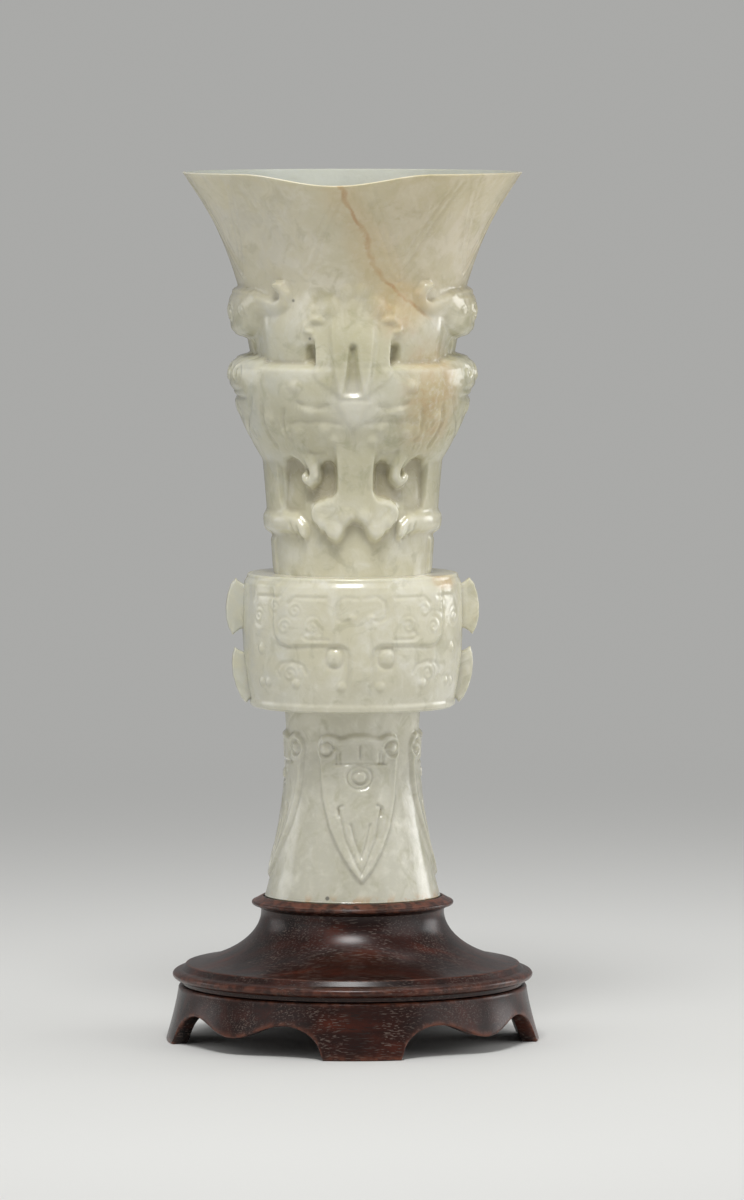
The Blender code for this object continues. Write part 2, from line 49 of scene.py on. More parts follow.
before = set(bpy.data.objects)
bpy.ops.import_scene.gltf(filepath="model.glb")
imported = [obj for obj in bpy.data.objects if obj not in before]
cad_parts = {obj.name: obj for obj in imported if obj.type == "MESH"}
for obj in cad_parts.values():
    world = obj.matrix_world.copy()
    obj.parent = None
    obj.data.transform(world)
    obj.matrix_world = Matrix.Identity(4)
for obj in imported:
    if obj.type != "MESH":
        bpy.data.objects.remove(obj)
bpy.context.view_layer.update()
VASE_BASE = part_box("vase")[0].z
SEAT_GAP = 0.0003

# Columns round each piece, and rows up its carved side
TRUMPET_COLUMNS = 500
TRUMPET_ROWS = (8, 46, 22, 80, 22)
KNOP_COLUMNS = 620
KNOP_ROWS = 118
FOOT_COLUMNS = 460
FOOT_ROWS = 188
STAND_COLUMNS = 288
APRON_COLUMNS = 480
APRON_OUTER_ROWS = 22
APRON_INNER_ROWS = 10
FLANGE_COLUMNS = 144
# Rises over the belly's lower edge between which the trumpet's rows are evenly spaced
CARVED_RISES = (-0.0210, 0.0060, 0.0190, 0.0540)
# Radius at which a turned surface is shut, and the angle in degrees from which an edge is sharp
SHUT_RADIUS = 0.004
SHARP_ANGLE = 50.0

# Turn of each carved zone from the front, in degrees, as the carver left them
MASK_TURN = -2.8
TRUNK_TURN = -1.2
KNOP_TURN = 1.4
LEAF_TURN = 3.2
LIP_DIP_TURN = -9.0
LIP_DIP_HALF_WIDTH = 34.0
# Height over which the dip of the lip fades out below
LIP_DIP_REACH = 0.0200

# Belly carving. A stroke point is degrees from the middle, rise over the belly's lower edge, half width
HORN_PATH = (
    (39.8, 0.0507, 0.0011), (36.8, 0.0502, 0.0015), (34.8, 0.0480, 0.0018), (36.2, 0.0455, 0.0021),
    (41.5, 0.0441, 0.0023), (50.0, 0.0449, 0.0026), (56.0, 0.0448, 0.0036), (61.0, 0.0434, 0.0055),
    (67.0, 0.0428, 0.0063), (77.0, 0.0426, 0.0067), (90.0, 0.0424, 0.0069),
)
EAR_PATH = (
    (58.0, 0.0254, 0.0046), (74.0, 0.0255, 0.0052), (90.0, 0.0254, 0.0056),
)
FANG_PATH = (
    (30.5, 0.0064, 0.0028), (28.8, 0.0030, 0.0023), (26.8, 0.0006, 0.0018), (26.2, -0.0019, 0.0016),
    (29.4, -0.0034, 0.0016), (32.8, -0.0028, 0.0013), (33.4, -0.0017, 0.0011),
)
BROW_PATH = (
    (16.0, 0.0412, 0.0012), (20.5, 0.0413, 0.0013), (23.6, 0.0400, 0.0012), (23.4, 0.0383, 0.0011),
    (21.2, 0.0380, 0.0009),
)
CLAW_PATH = (
    (34.6, -0.0180, 0.0012), (36.6, -0.0164, 0.0019), (42.0, -0.0151, 0.0024), (55.0, -0.0149, 0.0026),
    (76.0, -0.0150, 0.0026), (90.0, -0.0152, 0.0031),
)
# A line point is degrees from the middle and rise
EYE_LINES = (
    ((28.0, 0.0188), (24.0, 0.0178), (18.0, 0.0173), (12.5, 0.0178)),
    ((35.0, 0.0131), (28.0, 0.0137), (21.0, 0.0140), (12.0, 0.0136), (6.0, 0.0130)),
    ((36.0, 0.0165), (38.5, 0.0135), (39.0, 0.0105), (36.0, 0.0082)),
    ((58.0, 0.0196), (62.7, 0.0158), (72.0, 0.0125), (79.0, 0.0096), (90.0, 0.0066)),
    ((50.0, 0.0176), (53.5, 0.0130), (52.0, 0.0090), (49.0, 0.0062)),
    ((27.0, 0.0052), (20.0, 0.0046), (16.0, 0.0050)),
)
TOE_LINES = (
    ((38.2, -0.0190), (39.4, -0.0160)),
    ((43.4, -0.0180), (45.0, -0.0150)),
)
CHIN_LINE = ((0.0, 0.0110), (0.0, 0.0040))
EAR_LINE = ((60.0, 0.0198), (70.0, 0.0192), (90.0, 0.0196))
# An outline point is the same. A half outline runs from the middle line to the middle line
FACE_OUTLINE = (
    (0.0, 0.0530), (18.0, 0.0520), (27.5, 0.0492), (29.5, 0.0440), (27.0, 0.0400), (22.5, 0.0376),
    (20.0, 0.0352), (19.4, 0.0300), (19.2, 0.0266), (16.4, 0.0242), (11.4, 0.0224), (7.4, 0.0208),
    (0.0, 0.0200),
)
NOSE_OUTLINE = (
    (0.0, 0.0500), (9.0, 0.0490), (11.6, 0.0420), (11.2, 0.0366), (10.4, 0.0319), (9.0, 0.0262),
    (7.6, 0.0212), (6.8, 0.0198), (0.0, 0.0198),
)
NOSE_SLOT = ((0.0, 0.0350), (1.8, 0.0342), (2.9, 0.0275), (4.8, 0.0208), (0.0, 0.0204))
NOSE_TIP = ((0.0, 0.0108), (3.0, 0.0128), (6.5, 0.0163), (8.4, 0.0186), (7.0, 0.0197), (0.0, 0.0199))
# Window beside the nose, and the oval pit between horn and ear
NOSE_WINDOW = ((19.6, 0.0298), (19.8, 0.0338), (21.2, 0.0348), (23.6, 0.0346), (24.8, 0.0334), (25.2, 0.0298))
SIDE_PIT = ((67.0, 0.0331), (69.0, 0.0351), (72.0, 0.0354), (73.5, 0.0330), (72.0, 0.0312), (69.0, 0.0314))
# Bosses of the face and cheeks: degrees, rise, radius
FACE_BOSSES = (
    (11.5, 0.0450, 0.0030), (19.0, 0.0432, 0.0025), (3.8, 0.0490, 0.0024), (15.0, 0.0108, 0.0019),
    (11.0, 0.0082, 0.0016), (30.0, 0.0098, 0.0021), (38.0, 0.0100, 0.0018), (22.0, 0.0162, 0.0024),
    (29.0, 0.0230, 0.0019), (47.5, 0.0140, 0.0021),
)
# Lobes of the trunk's spread end: degrees, rise, radius
TRUNK_BOSSES = (
    (26.6, -0.0108, 0.0027), (22.0, -0.0146, 0.0026), (14.0, -0.0172, 0.0028), (5.5, -0.0128, 0.0024),
)
# Pillars at the sides of the neck, and the niches under the belly
PILLAR_OUTLINE = (
    (56.0, 0.0020), (56.0, -0.0084), (53.5, -0.0108), (47.0, -0.0126), (95.0, -0.0126), (95.0, 0.0020),
)
OUTER_ARCH = (
    (35.5, -0.0118), (34.6, 0.0002), (37.5, 0.0024), (43.0, 0.0036), (49.5, 0.0027), (54.4, -0.0006),
    (55.4, -0.0118),
)
INNER_ARCH = (
    (13.0, -0.0056), (12.8, 0.0012), (15.5, 0.0027), (20.0, 0.0025), (23.4, 0.0005), (24.6, -0.0036),
    (30.0, -0.0052), (37.0, -0.0044), (37.0, -0.0096), (25.0, -0.0098), (16.0, -0.0080),
)
# Trunk with its spread end
TRUNK_OUTLINE = (
    (0.0, 0.0104), (13.6, 0.0098), (13.0, 0.0030), (12.6, -0.0020), (13.0, -0.0060), (15.5, -0.0072),
    (20.0, -0.0075), (25.0, -0.0080), (28.4, -0.0091), (30.8, -0.0112), (31.2, -0.0134),
    (29.4, -0.0151), (26.6, -0.0157), (25.0, -0.0170), (21.8, -0.0174), (19.4, -0.0190),
    (14.0, -0.0203), (10.0, -0.0198), (7.0, -0.0181), (5.0, -0.0160), (2.4, -0.0148), (0.0, -0.0146),
)
# Scrolls of the belly: degrees, rise, radius
BELLY_SCROLLS = (
    (70.0, 0.0262, 0.0034), (44.0, 0.0122, 0.0022), (39.0, 0.0064, 0.0021), (22.0, 0.0088, 0.0020),
    (66.0, 0.0434, 0.0022), (81.0, 0.0424, 0.0036), (84.0, 0.0262, 0.0036), (66.0, 0.0098, 0.0030),
    (80.0, 0.0160, 0.0030),
)

# Knop carving. Rises are over the knop's underside
KNOP_BROW = (
    (8.0, 0.0052), (6.2, 0.0074), (5.6, 0.0113), (5.6, 0.0160), (6.8, 0.0181), (10.5, 0.0191),
    (27.3, 0.0189), (39.7, 0.0184), (45.0, 0.0193), (48.4, 0.0212), (49.4, 0.0240),
)
KNOP_EYE = (13.9, 0.0154, 0.0023)
KNOP_LINES = (
    (
        (1.5, 0.0318), (8.0, 0.0322), (12.2, 0.0310), (13.0, 0.0286), (12.0, 0.0262), (8.5, 0.0254),
        (4.9, 0.0262),
    ),
    ((18.1, 0.0319), (36.0, 0.0319), (40.0, 0.0300)),
    ((45.0, 0.0319), (64.0, 0.0317), (68.0, 0.0290)),
    ((17.0, 0.0204), (28.5, 0.0204), (31.0, 0.0214), (28.5, 0.0226)),
    ((47.0, 0.0096), (48.5, 0.0116), (45.0, 0.0136), (38.0, 0.0142), (31.5, 0.0132), (29.5, 0.0110)),
)
KNOP_SCROLLS = (
    (35.2, 0.0284, 0.0023), (25.3, 0.0242, 0.0025), (41.6, 0.0237, 0.0025), (48.5, 0.0293, 0.0022),
    (62.0, 0.0262, 0.0024), (39.5, 0.0108, 0.0026),
)
KNOP_BEADS = (
    (10.4, 0.0074, 0.0014), (36.5, 0.0080, 0.0013), (4.8, 0.0264, 0.0011), (56.5, 0.0080, 0.0012),
    (62.5, 0.0079, 0.0012), (60.0, 0.0172, 0.0014),
)

# Leaf on the foot. Rises are over the base of the vase
LEAF_OUTLINE = (
    (0.0, 0.0463), (8.0, 0.0461), (13.5, 0.0455), (17.5, 0.0453), (22.5, 0.0461), (28.5, 0.0464),
    (33.5, 0.0456), (36.6, 0.0434), (36.4, 0.0410), (35.0, 0.0375), (32.0, 0.0285), (24.6, 0.0205),
    (17.0, 0.0150), (8.6, 0.0098), (0.0, 0.0056),
)
LEAF_VOLUTE = (28.6, 0.0422, 0.0031)
LEAF_BOSS = (0.0, 0.0345, 0.0029)
LEAF_LINES = (
    ((0.0, 0.0382), (22.5, 0.0382)),
    ((17.5, 0.0240), (18.0, 0.0262), (14.5, 0.0268)),
    ((17.5, 0.0257), (11.5, 0.0175), (0.0, 0.0080)),
    ((7.5, 0.0216), (4.2, 0.0171), (0.0, 0.0126)),
    ((17.0, 0.0384), (17.0, 0.0412)),
    ((20.0, 0.0384), (20.0, 0.0412)),
    ((0.0, 0.0400), (0.0, 0.0432)),
)

# Flange lobes: radius and rise over the knop's underside, round the outline
UPPER_LOBE = (
    (0.0265, 0.0338), (0.0300, 0.0340), (0.0311, 0.0346), (0.0324, 0.0357), (0.0337, 0.0342),
    (0.0347, 0.0312), (0.0352, 0.0278), (0.0351, 0.0247), (0.0344, 0.0219), (0.0333, 0.0198),
    (0.0324, 0.0206), (0.0313, 0.0214), (0.0298, 0.0217), (0.0265, 0.0218),
)
LOWER_LOBE = (
    (0.0255, 0.0150), (0.0300, 0.0152), (0.0314, 0.0157), (0.0327, 0.0166), (0.0333, 0.0147),
    (0.0335, 0.0122), (0.0332, 0.0087), (0.0322, 0.0052), (0.0309, 0.0024), (0.0295, 0.0008),
    (0.0288, 0.0018), (0.0278, 0.0026), (0.0255, 0.0029),
)

# Spans over which parts of the mask ease in, from none to all: degrees from the middle
MASK_SIDES = SimpleNamespace(
    ear=(56.0, 80.0),
    ear_rim=(62.0, 70.0),
    ear_line=(60.0, 72.0),
    face_crown=(0.0, 20.0),
    cheek_inner=(18.0, 21.0),
    cheek_outer=(64.0, 46.0),
    window=(25.5, 21.0),
    temple=(50.0, 62.0),
    horn=(45.0, 85.0),
    horn_sag=(52.0, 72.0),
    horn_rim=(54.0, 64.0),
    skirt=(71.0, 73.0),
)
# The same in rises over the belly's lower edge, with the ledge's over the belly's top
MASK_RISES = SimpleNamespace(
    ledge=(0.0008, -0.0026),
    face=(0.0530, 0.0260),
    face_soft=(0.036, 0.046),
    cheek_top=(0.0530, 0.0370),
    cheek_foot=(0.020, 0.022),
    temple=(0.047, 0.040),
    horn_top=(0.0428, 0.0484),
    horn_foot=(0.0412, 0.0362),
    trunk=(-0.008, 0.0075),
    trunk_soft=(-0.006, -0.010),
    skirt=(-0.0190, -0.0200),
    arch=(-0.0125, 0.0),
    wing=(0.0330, 0.0290),
    nose=(0.0480, 0.0330),
)
# Soft edges of plates and pits: distances from the outline, below 0 inside
MASK_EDGES = SimpleNamespace(
    window=(0.0003, -0.0006),
    pillar=(0.0003, -0.0006),
    arch=(0.0002, -0.0009),
    wing=(0.0004, -0.0009),
    nose=(0.0004, -0.0010),
    slot=(0.0002, -0.0007),
    tip=(0.0005, -0.0010),
    pit=(0.0002, -0.0008),
)
# Edges of the face and trunk: least softness, what is added to it, and the span in softnesses
FACE_SOFT = (0.0006, 0.0016)
FACE_EDGE = (0.5, -1.0)
TRUNK_SOFT = (0.0013, 0.0003)
TRUNK_EDGE = (0.15, -1.0)
# Reach over which the face and the trunk are blended into what lies beside them
FACE_BLEND = 0.0010
TRUNK_BLEND = 0.0016
# Height at which a blend fills its whole crease, and the least height that counts as carved
BLEND_START = 0.0012
LEAST_HEIGHT = 0.0001
# How far the ears stay under the belly's ledge, and the rise at which the temples begin
EAR_TOP_GAP = 0.0002
TEMPLE_FOOT = 0.02
# Powers of the round section of each stroke, lower for a fuller one
STROKE_POWERS = SimpleNamespace(ear=0.3, horn=0.45, brow=0.6, fang=0.5, claw=0.42, boss=1.5)
# How much of a form's height is lost or gained where it eases
FACE_CROWN_DROP = 0.12
WINDOW_DEPTH = (0.42, 0.40)
HORN_LEVEL = (0.74, 0.46)
HORN_SAG = (0.28, 0.26)
TRUNK_SWELL = 0.46
# Grooves inside the rims of the horns and ears: share of the half width, and depth over that of a line
RIM_SHARE = 0.80
HORN_RIM_WIDTH = 0.08
EAR_RIM_WIDTH = 0.09
RIM_DEPTH = 0.9
# Cut lines of the belly: points, half width, and depth over that of a line
BELLY_CUTS = ((EYE_LINES + TOE_LINES, 0.0006, 1.3), ((CHIN_LINE,), 0.0005, 0.4))
EAR_CUT = ((EAR_LINE,), 0.0009, 1.8)
BELLY_LINE_EDGE = (1.0, 0.2)
BELLY_SCROLL_HEIGHT = 1.3
BELLY_SCROLL_FLOOR = 0.4
# A scroll fades out over this span of its radius, and has this many turns
SCROLL_FADE = (1.1, 0.8)
SCROLL_TURNS = 1.6

# Leaves round the mouth: heights and widths in metres, depths in CarvingSizes.mouth
MOUTH = SimpleNamespace(
    leaves=8,
    tip_rise=0.0520,
    top_gap=0.0020,
    half_width=22.0,
    power=0.62,
    slant=0.75,
    edge=(-0.0003, 0.0003),
    plate=0.6,
    lines=(0.0016, 0.0034),
    line_width=0.00035,
    scrolls=((0.0042, 0.0190, 0.0022), (0.0030, 0.0120, 0.0016)),
    scroll=0.8,
    fade=(0.0012, 0.0030),
)
# Low mask of the knop: rises and widths in metres, depths in CarvingSizes.knop
KNOP = SimpleNamespace(
    side=66.0,
    side_fade=(0.001, -0.002),
    foot_fade=(0.0030, 0.0062),
    top_fade=(0.0357, 0.0318),
    brow_top=0.0360,
    brow_edge=(0.0004, -0.0004),
    brow_fade=(0.0048, 0.0100),
    groove=0.45,
    groove_place=0.0005,
    groove_width=0.0004,
    eye_power=2.6,
    eye_tall=1.15,
    eye_dome=0.78,
    eye_ring=1.05,
    eye_ring_width=0.18,
    eye_ring_depth=0.9,
    line=0.75,
    line_width=0.0005,
    line_edge=(1.0, 0.15),
    scroll=0.75,
    scroll_floor=0.42,
    scroll_floor_fade=1.25,
    moulding=0.9,
    moulding_edge=(0.0024, 0.0017),
)
# Leaves of the foot: distances in metres, volute and boss in radii, depths in CarvingSizes.leaf
LEAF = SimpleNamespace(
    leaves=4,
    edge=(0.00045, -0.00045),
    rim=0.22,
    rim_place=-0.0010,
    rim_width=0.0005,
    volute=0.35,
    volute_edge=(1.05, 0.85),
    coil=0.95,
    coil_place=0.60,
    coil_pitch=0.16,
    coil_width=0.14,
    bead=0.45,
    volute_bead=0.34,
    boss_bead=0.62,
    boss_flat=1.1,
    rings=(0.74, 1.18),
    ring=0.75,
    ring_width=0.14,
    line=0.60,
    line_width=0.00058,
    line_edge=(1.0, 0.1),
    line_inside=(0.0, -0.0008),
    flute_angle=22.5,
    flute_outside=(0.0, 0.0010),
    flute_foot=(0.004, 0.015),
    flute_top=(0.046, 0.036),
)

# Pulls of the belly's curve, as shares of its height from its top and from its foot
BELLY_PULLS = (0.25, 0.333)
BELLY_CURVE_POINTS = 80
# How far the rounding of the knop's top edge reaches in, over its height
KNOP_TOP_REACH = 0.6
# Rounding of a flange's edge as a share of its outline, and the rows' step at the neck's plug
FLANGE_ROUND = 0.00055 / 0.006
PLUG_STEP = 0.0005
# Least step between two mouldings of the stand
HAIR = 0.0001

# How deep a hollow is when it takes the whole painted shade, and how far its surroundings are averaged
TRUMPET_SUNK = 0.001
KNOP_SUNK = 0.0006
FOOT_SUNK = 0.0005
SUNK_PASSES = 16
# Near and far surroundings on the trumpet, against which its painted shade and highlight are found: passes
# and weights
NEAR_PASSES = 20
NEAR_WEIGHT = 0.65
FAR_PASSES = 80
FAR_WEIGHT = 0.40
# The niches get this much more painted shade, and the mouth this share less, over a span at the ledge
NICHE_SHADE = 0.55
MOUTH_SHADE_LESS = 0.6
MOUTH_SHADE_SPAN = (-0.0005, 0.0005)

# Noises of the jade: scale, detail, roughness and twist
JADE_NOISES = SimpleNamespace(
    clouds=(26.0, 5.0, 0.55, 0.6),
    wisps=(85.0, 4.0, 0.6, 0.8),
    cotton=(210.0, 4.0, 0.62, 0.5),
    depths=(150.0, 3.0, 0.6, 1.0),
    grains=(520.0, 3.0, 0.65),
    wander=(130.0, 4.0, 0.6),
    rare=(48.0, 1.0),
)
SPECK_CELLS = 95.0
# Layers of the noises and the carved hollows: values between which they come in, and mostly a weight. The
# hollows give painted shade in the recesses and a painted highlight on the ridges
JADE_LAYERS = SimpleNamespace(
    white_clouds=(0.40, 0.72, 0.45),
    white_wisps=(0.46, 0.72, 0.50),
    white_cotton=(0.46, 0.76, 0.38),
    white_mouth=(0.42, 0.66, 0.45),
    green_clouds=(0.38, 0.68, 0.42),
    green_depths=(0.50, 0.70, 0.38),
    cool_wisps=(0.4, 0.65, 0.4),
    vein_wisps=(0.38, 0.60, 0.55),
    crumbs_cotton=(0.46, 0.62, 0.6),
    crumbs_grains=(0.50, 0.62, 0.25),
    flecks=(0.50, 0.68),
    speck=(0.035, 0.075),
    rare=(0.60, 0.66, 0.75),
    dirt=(0.48, 0.60, 0.55),
    painted_shading=(0.05, 1.5, 0.50),
    ridge=(0.10, 1.4, 0.45),
)
# Weights of what lies in one place, such as a zone, a stain or the vein
JADE_WEIGHTS = SimpleNamespace(
    # The first weight paints light onto the mouth, which faces down and gets less of the lamps; the second
    # whitens the knop's band, partly paler stone and partly painted light
    mouth_painted_light=0.14,
    neck_white_and_light=0.22,
    belly_green=0.30,
    pale=0.8,
    cool=0.25,
    nose=0.4,
    nose_wisps=0.6,
    vein=0.45,
    vein_fade=0.6,
    warm=0.26,
    warm_right=0.24,
    patch_honey=0.80,
    patch_top_honey=0.70,
    halo_honey=0.45,
    spot_honey=0.8,
    honey=0.35,
    honey_wisps=0.75,
    vein_russet=0.95,
    patch_russet=0.70,
    patch_top_russet=0.5,
    spot_russet=0.8,
    russet=0.8,
    flecks=0.10,
    patch_flecks=0.20,
    # Share of the painted light on the bore's inner wall
    inside=0.75,
)
# Heights over the floor between which a zone of the stone comes in, or goes out
JADE_ZONES = SimpleNamespace(
    pale_out=(0.072, 0.116),
    neck_in=(0.086, 0.096),
    neck_out=(0.126, 0.136),
    green_in=(0.12, 0.22),
    belly_in=(0.145, 0.160),
    belly_out=(0.188, 0.202),
    mouth_clouds_in=(0.185, 0.225),
    # Where the painted light on the mouth comes in
    mouth_painted_light_in=(0.203, 0.222),
    mouth_warm_in=(0.196, 0.214),
    vein_in=(0.199, 0.206),
    vein_out=(0.236, 0.240),
    dirt_out=(VASE_BASE + 0.0004, VASE_BASE + 0.0030),
)
# Spans in metres from the axis: to the left, to the front, and to the right across the mouth
COOL_LEFT = (0.010, 0.030)
VEIN_FRONT = (0.008, 0.018)
WARM_RIGHT = (-0.008, 0.012)
# Stained places: middle, three radii, and the share of them inside which the stain is whole
JADE_STAINS = SimpleNamespace(
    nose=((-0.001, -0.031, 0.1775), (0.010, 0.012, 0.010), 0.3),
    patch=((0.0195, -0.0220, 0.1800), (0.0130, 0.018, 0.0225), 0.2),
    patch_top=((0.0115, -0.0290, 0.2030), (0.011, 0.014, 0.0110), 0.2),
    spot=((0.0245, -0.016, 0.1285), (0.008, 0.009, 0.0035), 0.3),
)
# Russet vein: heights where it starts and bends, its two slopes, how far it wanders, half widths
VEIN_START = 0.2257
VEIN_BEND = 0.2116
VEIN_SLOPES = (0.50, 0.7)
VEIN_WANDER = 0.006
VEIN_WIDTH = (0.0002, 0.0012)
VEIN_HALO = (0.001, 0.010)

# Turn of the wood's grain, and its noises. The first four come after their scale along the grain
WOOD_TURN = (0.0, math.radians(2.0), math.radians(6.0))
WOOD_NOISES = SimpleNamespace(
    streaks=(0.07, (190.0, 5.0, 0.62, 0.7)),
    bands=(0.07, (55.0, 3.0, 0.5, 1.2)),
    pores=(0.11, (3300.0, 2.0, 0.5)),
    blush=(0.30, (95.0, 4.0, 0.6, 0.6)),
    dust=(110.0, 2.0),
    wear=(420.0, 4.0),
)
# Layers and weights of the wood, as for the jade
WOOD_LAYERS = SimpleNamespace(
    streaks=(0.36, 0.70, 0.60),
    bands=(0.38, 0.70, 0.35),
    pore=(0.56, 0.64),
    blush=(0.48, 0.72),
    dust=(0.25, 0.70, 0.50),
    wear=(0.40, 0.62, 0.80),
)
WOOD_WEIGHTS = SimpleNamespace(wear=0.20, worn=0.75, blush=0.20, blush_streaks=0.60, pore=0.7, pore_dark=0.4)
# Where the stand is rubbed: radius of a bend, shares, and widths along the apron's edges
RUBBED_RADIUS = 0.0011
BEND_RUBBED = 0.6
COLLAR_RUBBED = 0.95
LOW_RUBBED = 0.0011
LOW_RUBBED_INSET = 0.0016
TOP_RUBBED = 0.0008
TOP_RUBBED_INSET = 0.0010

# Floor, and the distances between which the camera sees it turn into an even tone
FLOOR_HALF_WIDTH = 40.0
FLOOR_POINTS = 9
FLOOR_FAR = (0.20, 0.95)
# Lamps: the setting that gives the watts, the share of it, the side of the square and the place
LAMPS = {
    "key_lamp": ("key", 1.0, 0.9, (-0.85, -0.55, 0.55)),
    "fill_lamp": ("fill", 1.0, 0.9, (0.90, -0.40, 0.45)),
    "top_lamp": ("top", 1.0, 0.7, (0.05, 0.25, 1.05)),
    "front_lamp": ("front", 1.0, 0.30, (-0.06, -0.46, 0.94)),
    "left_edge_lamp": ("edge", 0.4, 0.35, (-0.75, 0.30, 0.25)),
    "right_edge_lamp": ("edge", 1.0, 0.35, (0.75, 0.30, 0.25)),
}
LAMP_AIM = (0.0, 0.0, 0.13)
# Height of the camera's sensor in millimetres
SENSOR_HEIGHT = 36.0


def length(name, default, description):
    """A size in metres."""
    return FloatProperty(name=name, default=default, description=description, unit="LENGTH", precision=4)


def amount(name, default, description):
    """A plain number."""
    return FloatProperty(name=name, default=default, description=description)


def tint(name, default, description):
    """A colour."""
    return FloatVectorProperty(
        name=name, default=default, description=description, subtype="COLOR", size=3, min=0.0, max=1.0
    )


class VaseSizes(PropertyGroup):
    """Sizes of the turned stone before it is carved."""

    foot_height: length("Foot height", 0.0529, "Height of the foot up to the knop")
    foot_base: length("Foot base radius", 0.0244, "Radius of the foot where it stands")
    foot_waist: length("Foot waist radius", 0.0181, "Smallest radius of the foot")
    foot_top: length("Foot top radius", 0.0189, "Radius of the foot under the knop")
    foot_waist_rise: length("Foot waist rise", 0.0351, "Height of the foot's waist")
    foot_power: amount("Foot flare power", 1.5, "How suddenly the foot spreads")
    foot_wall: length("Foot wall", 0.0055, "Width of the ring that the foot stands on")
    foot_hollow: length("Foot hollow", 0.0240, "Depth of the hollow under the foot")
    foot_bevel: length("Foot bevel", 0.0006, "Rounding of the foot's lower edge")
    foot_sunk: length("Foot sunk", 0.0010, "How far the foot's side runs up into the knop")
    foot_plug: length("Foot plug", 0.0060, "How far the foot's middle runs up into the knop")
    knop_height: length("Knop height", 0.0371, "Height of the knop")
    knop_radius: length("Knop radius", 0.0305, "Largest radius of the knop")
    knop_base: length("Knop base radius", 0.0277, "Radius of the knop's underside")
    knop_top: length("Knop top radius", 0.0298, "Radius of the knop's top")
    knop_swell_rise: length("Knop swell rise", 0.0230, "Height of the knop's largest radius")
    knop_round: length("Knop round", 0.0010, "Rounding of the knop's edges")
    knop_shoulder: length("Knop shoulder", 0.0024, "Height of the sloping band round the knop's top")
    knop_lean: length("Knop lean", 0.0011, "How far that band leans in")
    knop_core: length("Knop core", 0.0180, "Radius of the knop's unseen inner wall")
    flange_thickness: length("Flange thickness", 0.0040, "Thickness of the side flanges")
    neck_height: length("Neck height", 0.0296, "Height from the knop to the belly")
    neck_radius: length("Neck radius", 0.0214, "Radius of the neck over the knop")
    neck_taper: amount("Neck taper", 0.05, "Widening of the neck per unit of height")
    belly_height: length("Belly height", 0.0302, "Height of the carved belly")
    belly_shoulder: length("Belly shoulder", 0.0052, "How far the belly's top edge stands out")
    belly_swell: length("Belly swell", 0.0085, "Pull of the belly's curve below its top edge")
    belly_flank: length("Belly flank", 0.0069, "Pull of the belly's curve above its lower edge")
    mouth_height: length("Mouth height", 0.0511, "Height from the belly to the lip")
    mouth_radius: length("Mouth radius", 0.0471, "Radius of the lip")
    flare_length: length("Flare length", 0.0280, "Height over which the flare grows by a factor of e")
    lip: length("Lip thickness", 0.0014, "Thickness of the stone at the lip")
    lip_dip: length("Lip dip", 0.0030, "Depth of the dip ground into the front of the lip")
    bore_wall: length("Bore wall", 0.0065, "Thickness of the stone at the bottom of the bore")
    bore_below_neck: length("Bore below neck", 0.0060, "How far the bore goes into the knop")
    bore_round: length("Bore round", 0.0050, "Rounding of the bore's floor")
    trumpet_sunk: length("Trumpet sunk", 0.0020, "How far the neck's side runs down into the knop")
    trumpet_plug: length("Trumpet plug", 0.0030, "Thickness of the stone under the bore's floor")


class CarvingSizes(PropertyGroup):
    """How far the carving stands out or sinks in."""

    horn: length("Horn", 0.0038, "Height of the horns")
    cheek: length("Cheek", 0.0031, "Height of the cheeks between the horns and the belly")
    face: length("Face", 0.0065, "Height of the brow and nose at the belly's ledge")
    trunk: length("Trunk", 0.0026, "Height of the trunk and its flaps")
    fang: length("Fang", 0.0027, "Height of the fangs")
    claw: length("Claw", 0.0023, "Height of the claws")
    ear: length("Ear", 0.0008, "How far the ears stand out of the belly")
    temple: length("Temple", 0.0008, "Height of the temples between the horns and the ears")
    brow: length("Brow", 0.0008, "How far the curled brows stand out of the face")
    nose: length("Nose", 0.0011, "How far the nose stands out of the face")
    wing: length("Wing", 0.0004, "How far the nose's wings stand out of the face")
    tip: length("Nose tip", 0.0007, "Height of the tip under the nose")
    slot: length("Slot", 0.0019, "Depth of the slot along the nose")
    pit: length("Pit", 0.0008, "Depth of the pit between horn and ear")
    boss: length("Boss", 0.0006, "Height of the bosses on the belly and trunk")
    pillar: length("Pillar", 0.0011, "Height of the pillars at the sides of the neck")
    skirt: length("Skirt", 0.0006, "Height of the plain bands under the claws")
    arch: length("Arch", 0.0010, "Depth of the niches under the belly")
    line: length("Line", 0.0006, "Depth of cut lines on the belly")
    knop: length("Knop relief", 0.0005, "Height of the low relief on the knop")
    leaf: length("Leaf", 0.0009, "Height of the leaves on the foot")
    flute: length("Flute", 0.00006, "Height of the faint flutes between the leaves")
    mouth: length("Mouth lines", 0.00035, "Depth of the leaf lines round the mouth")


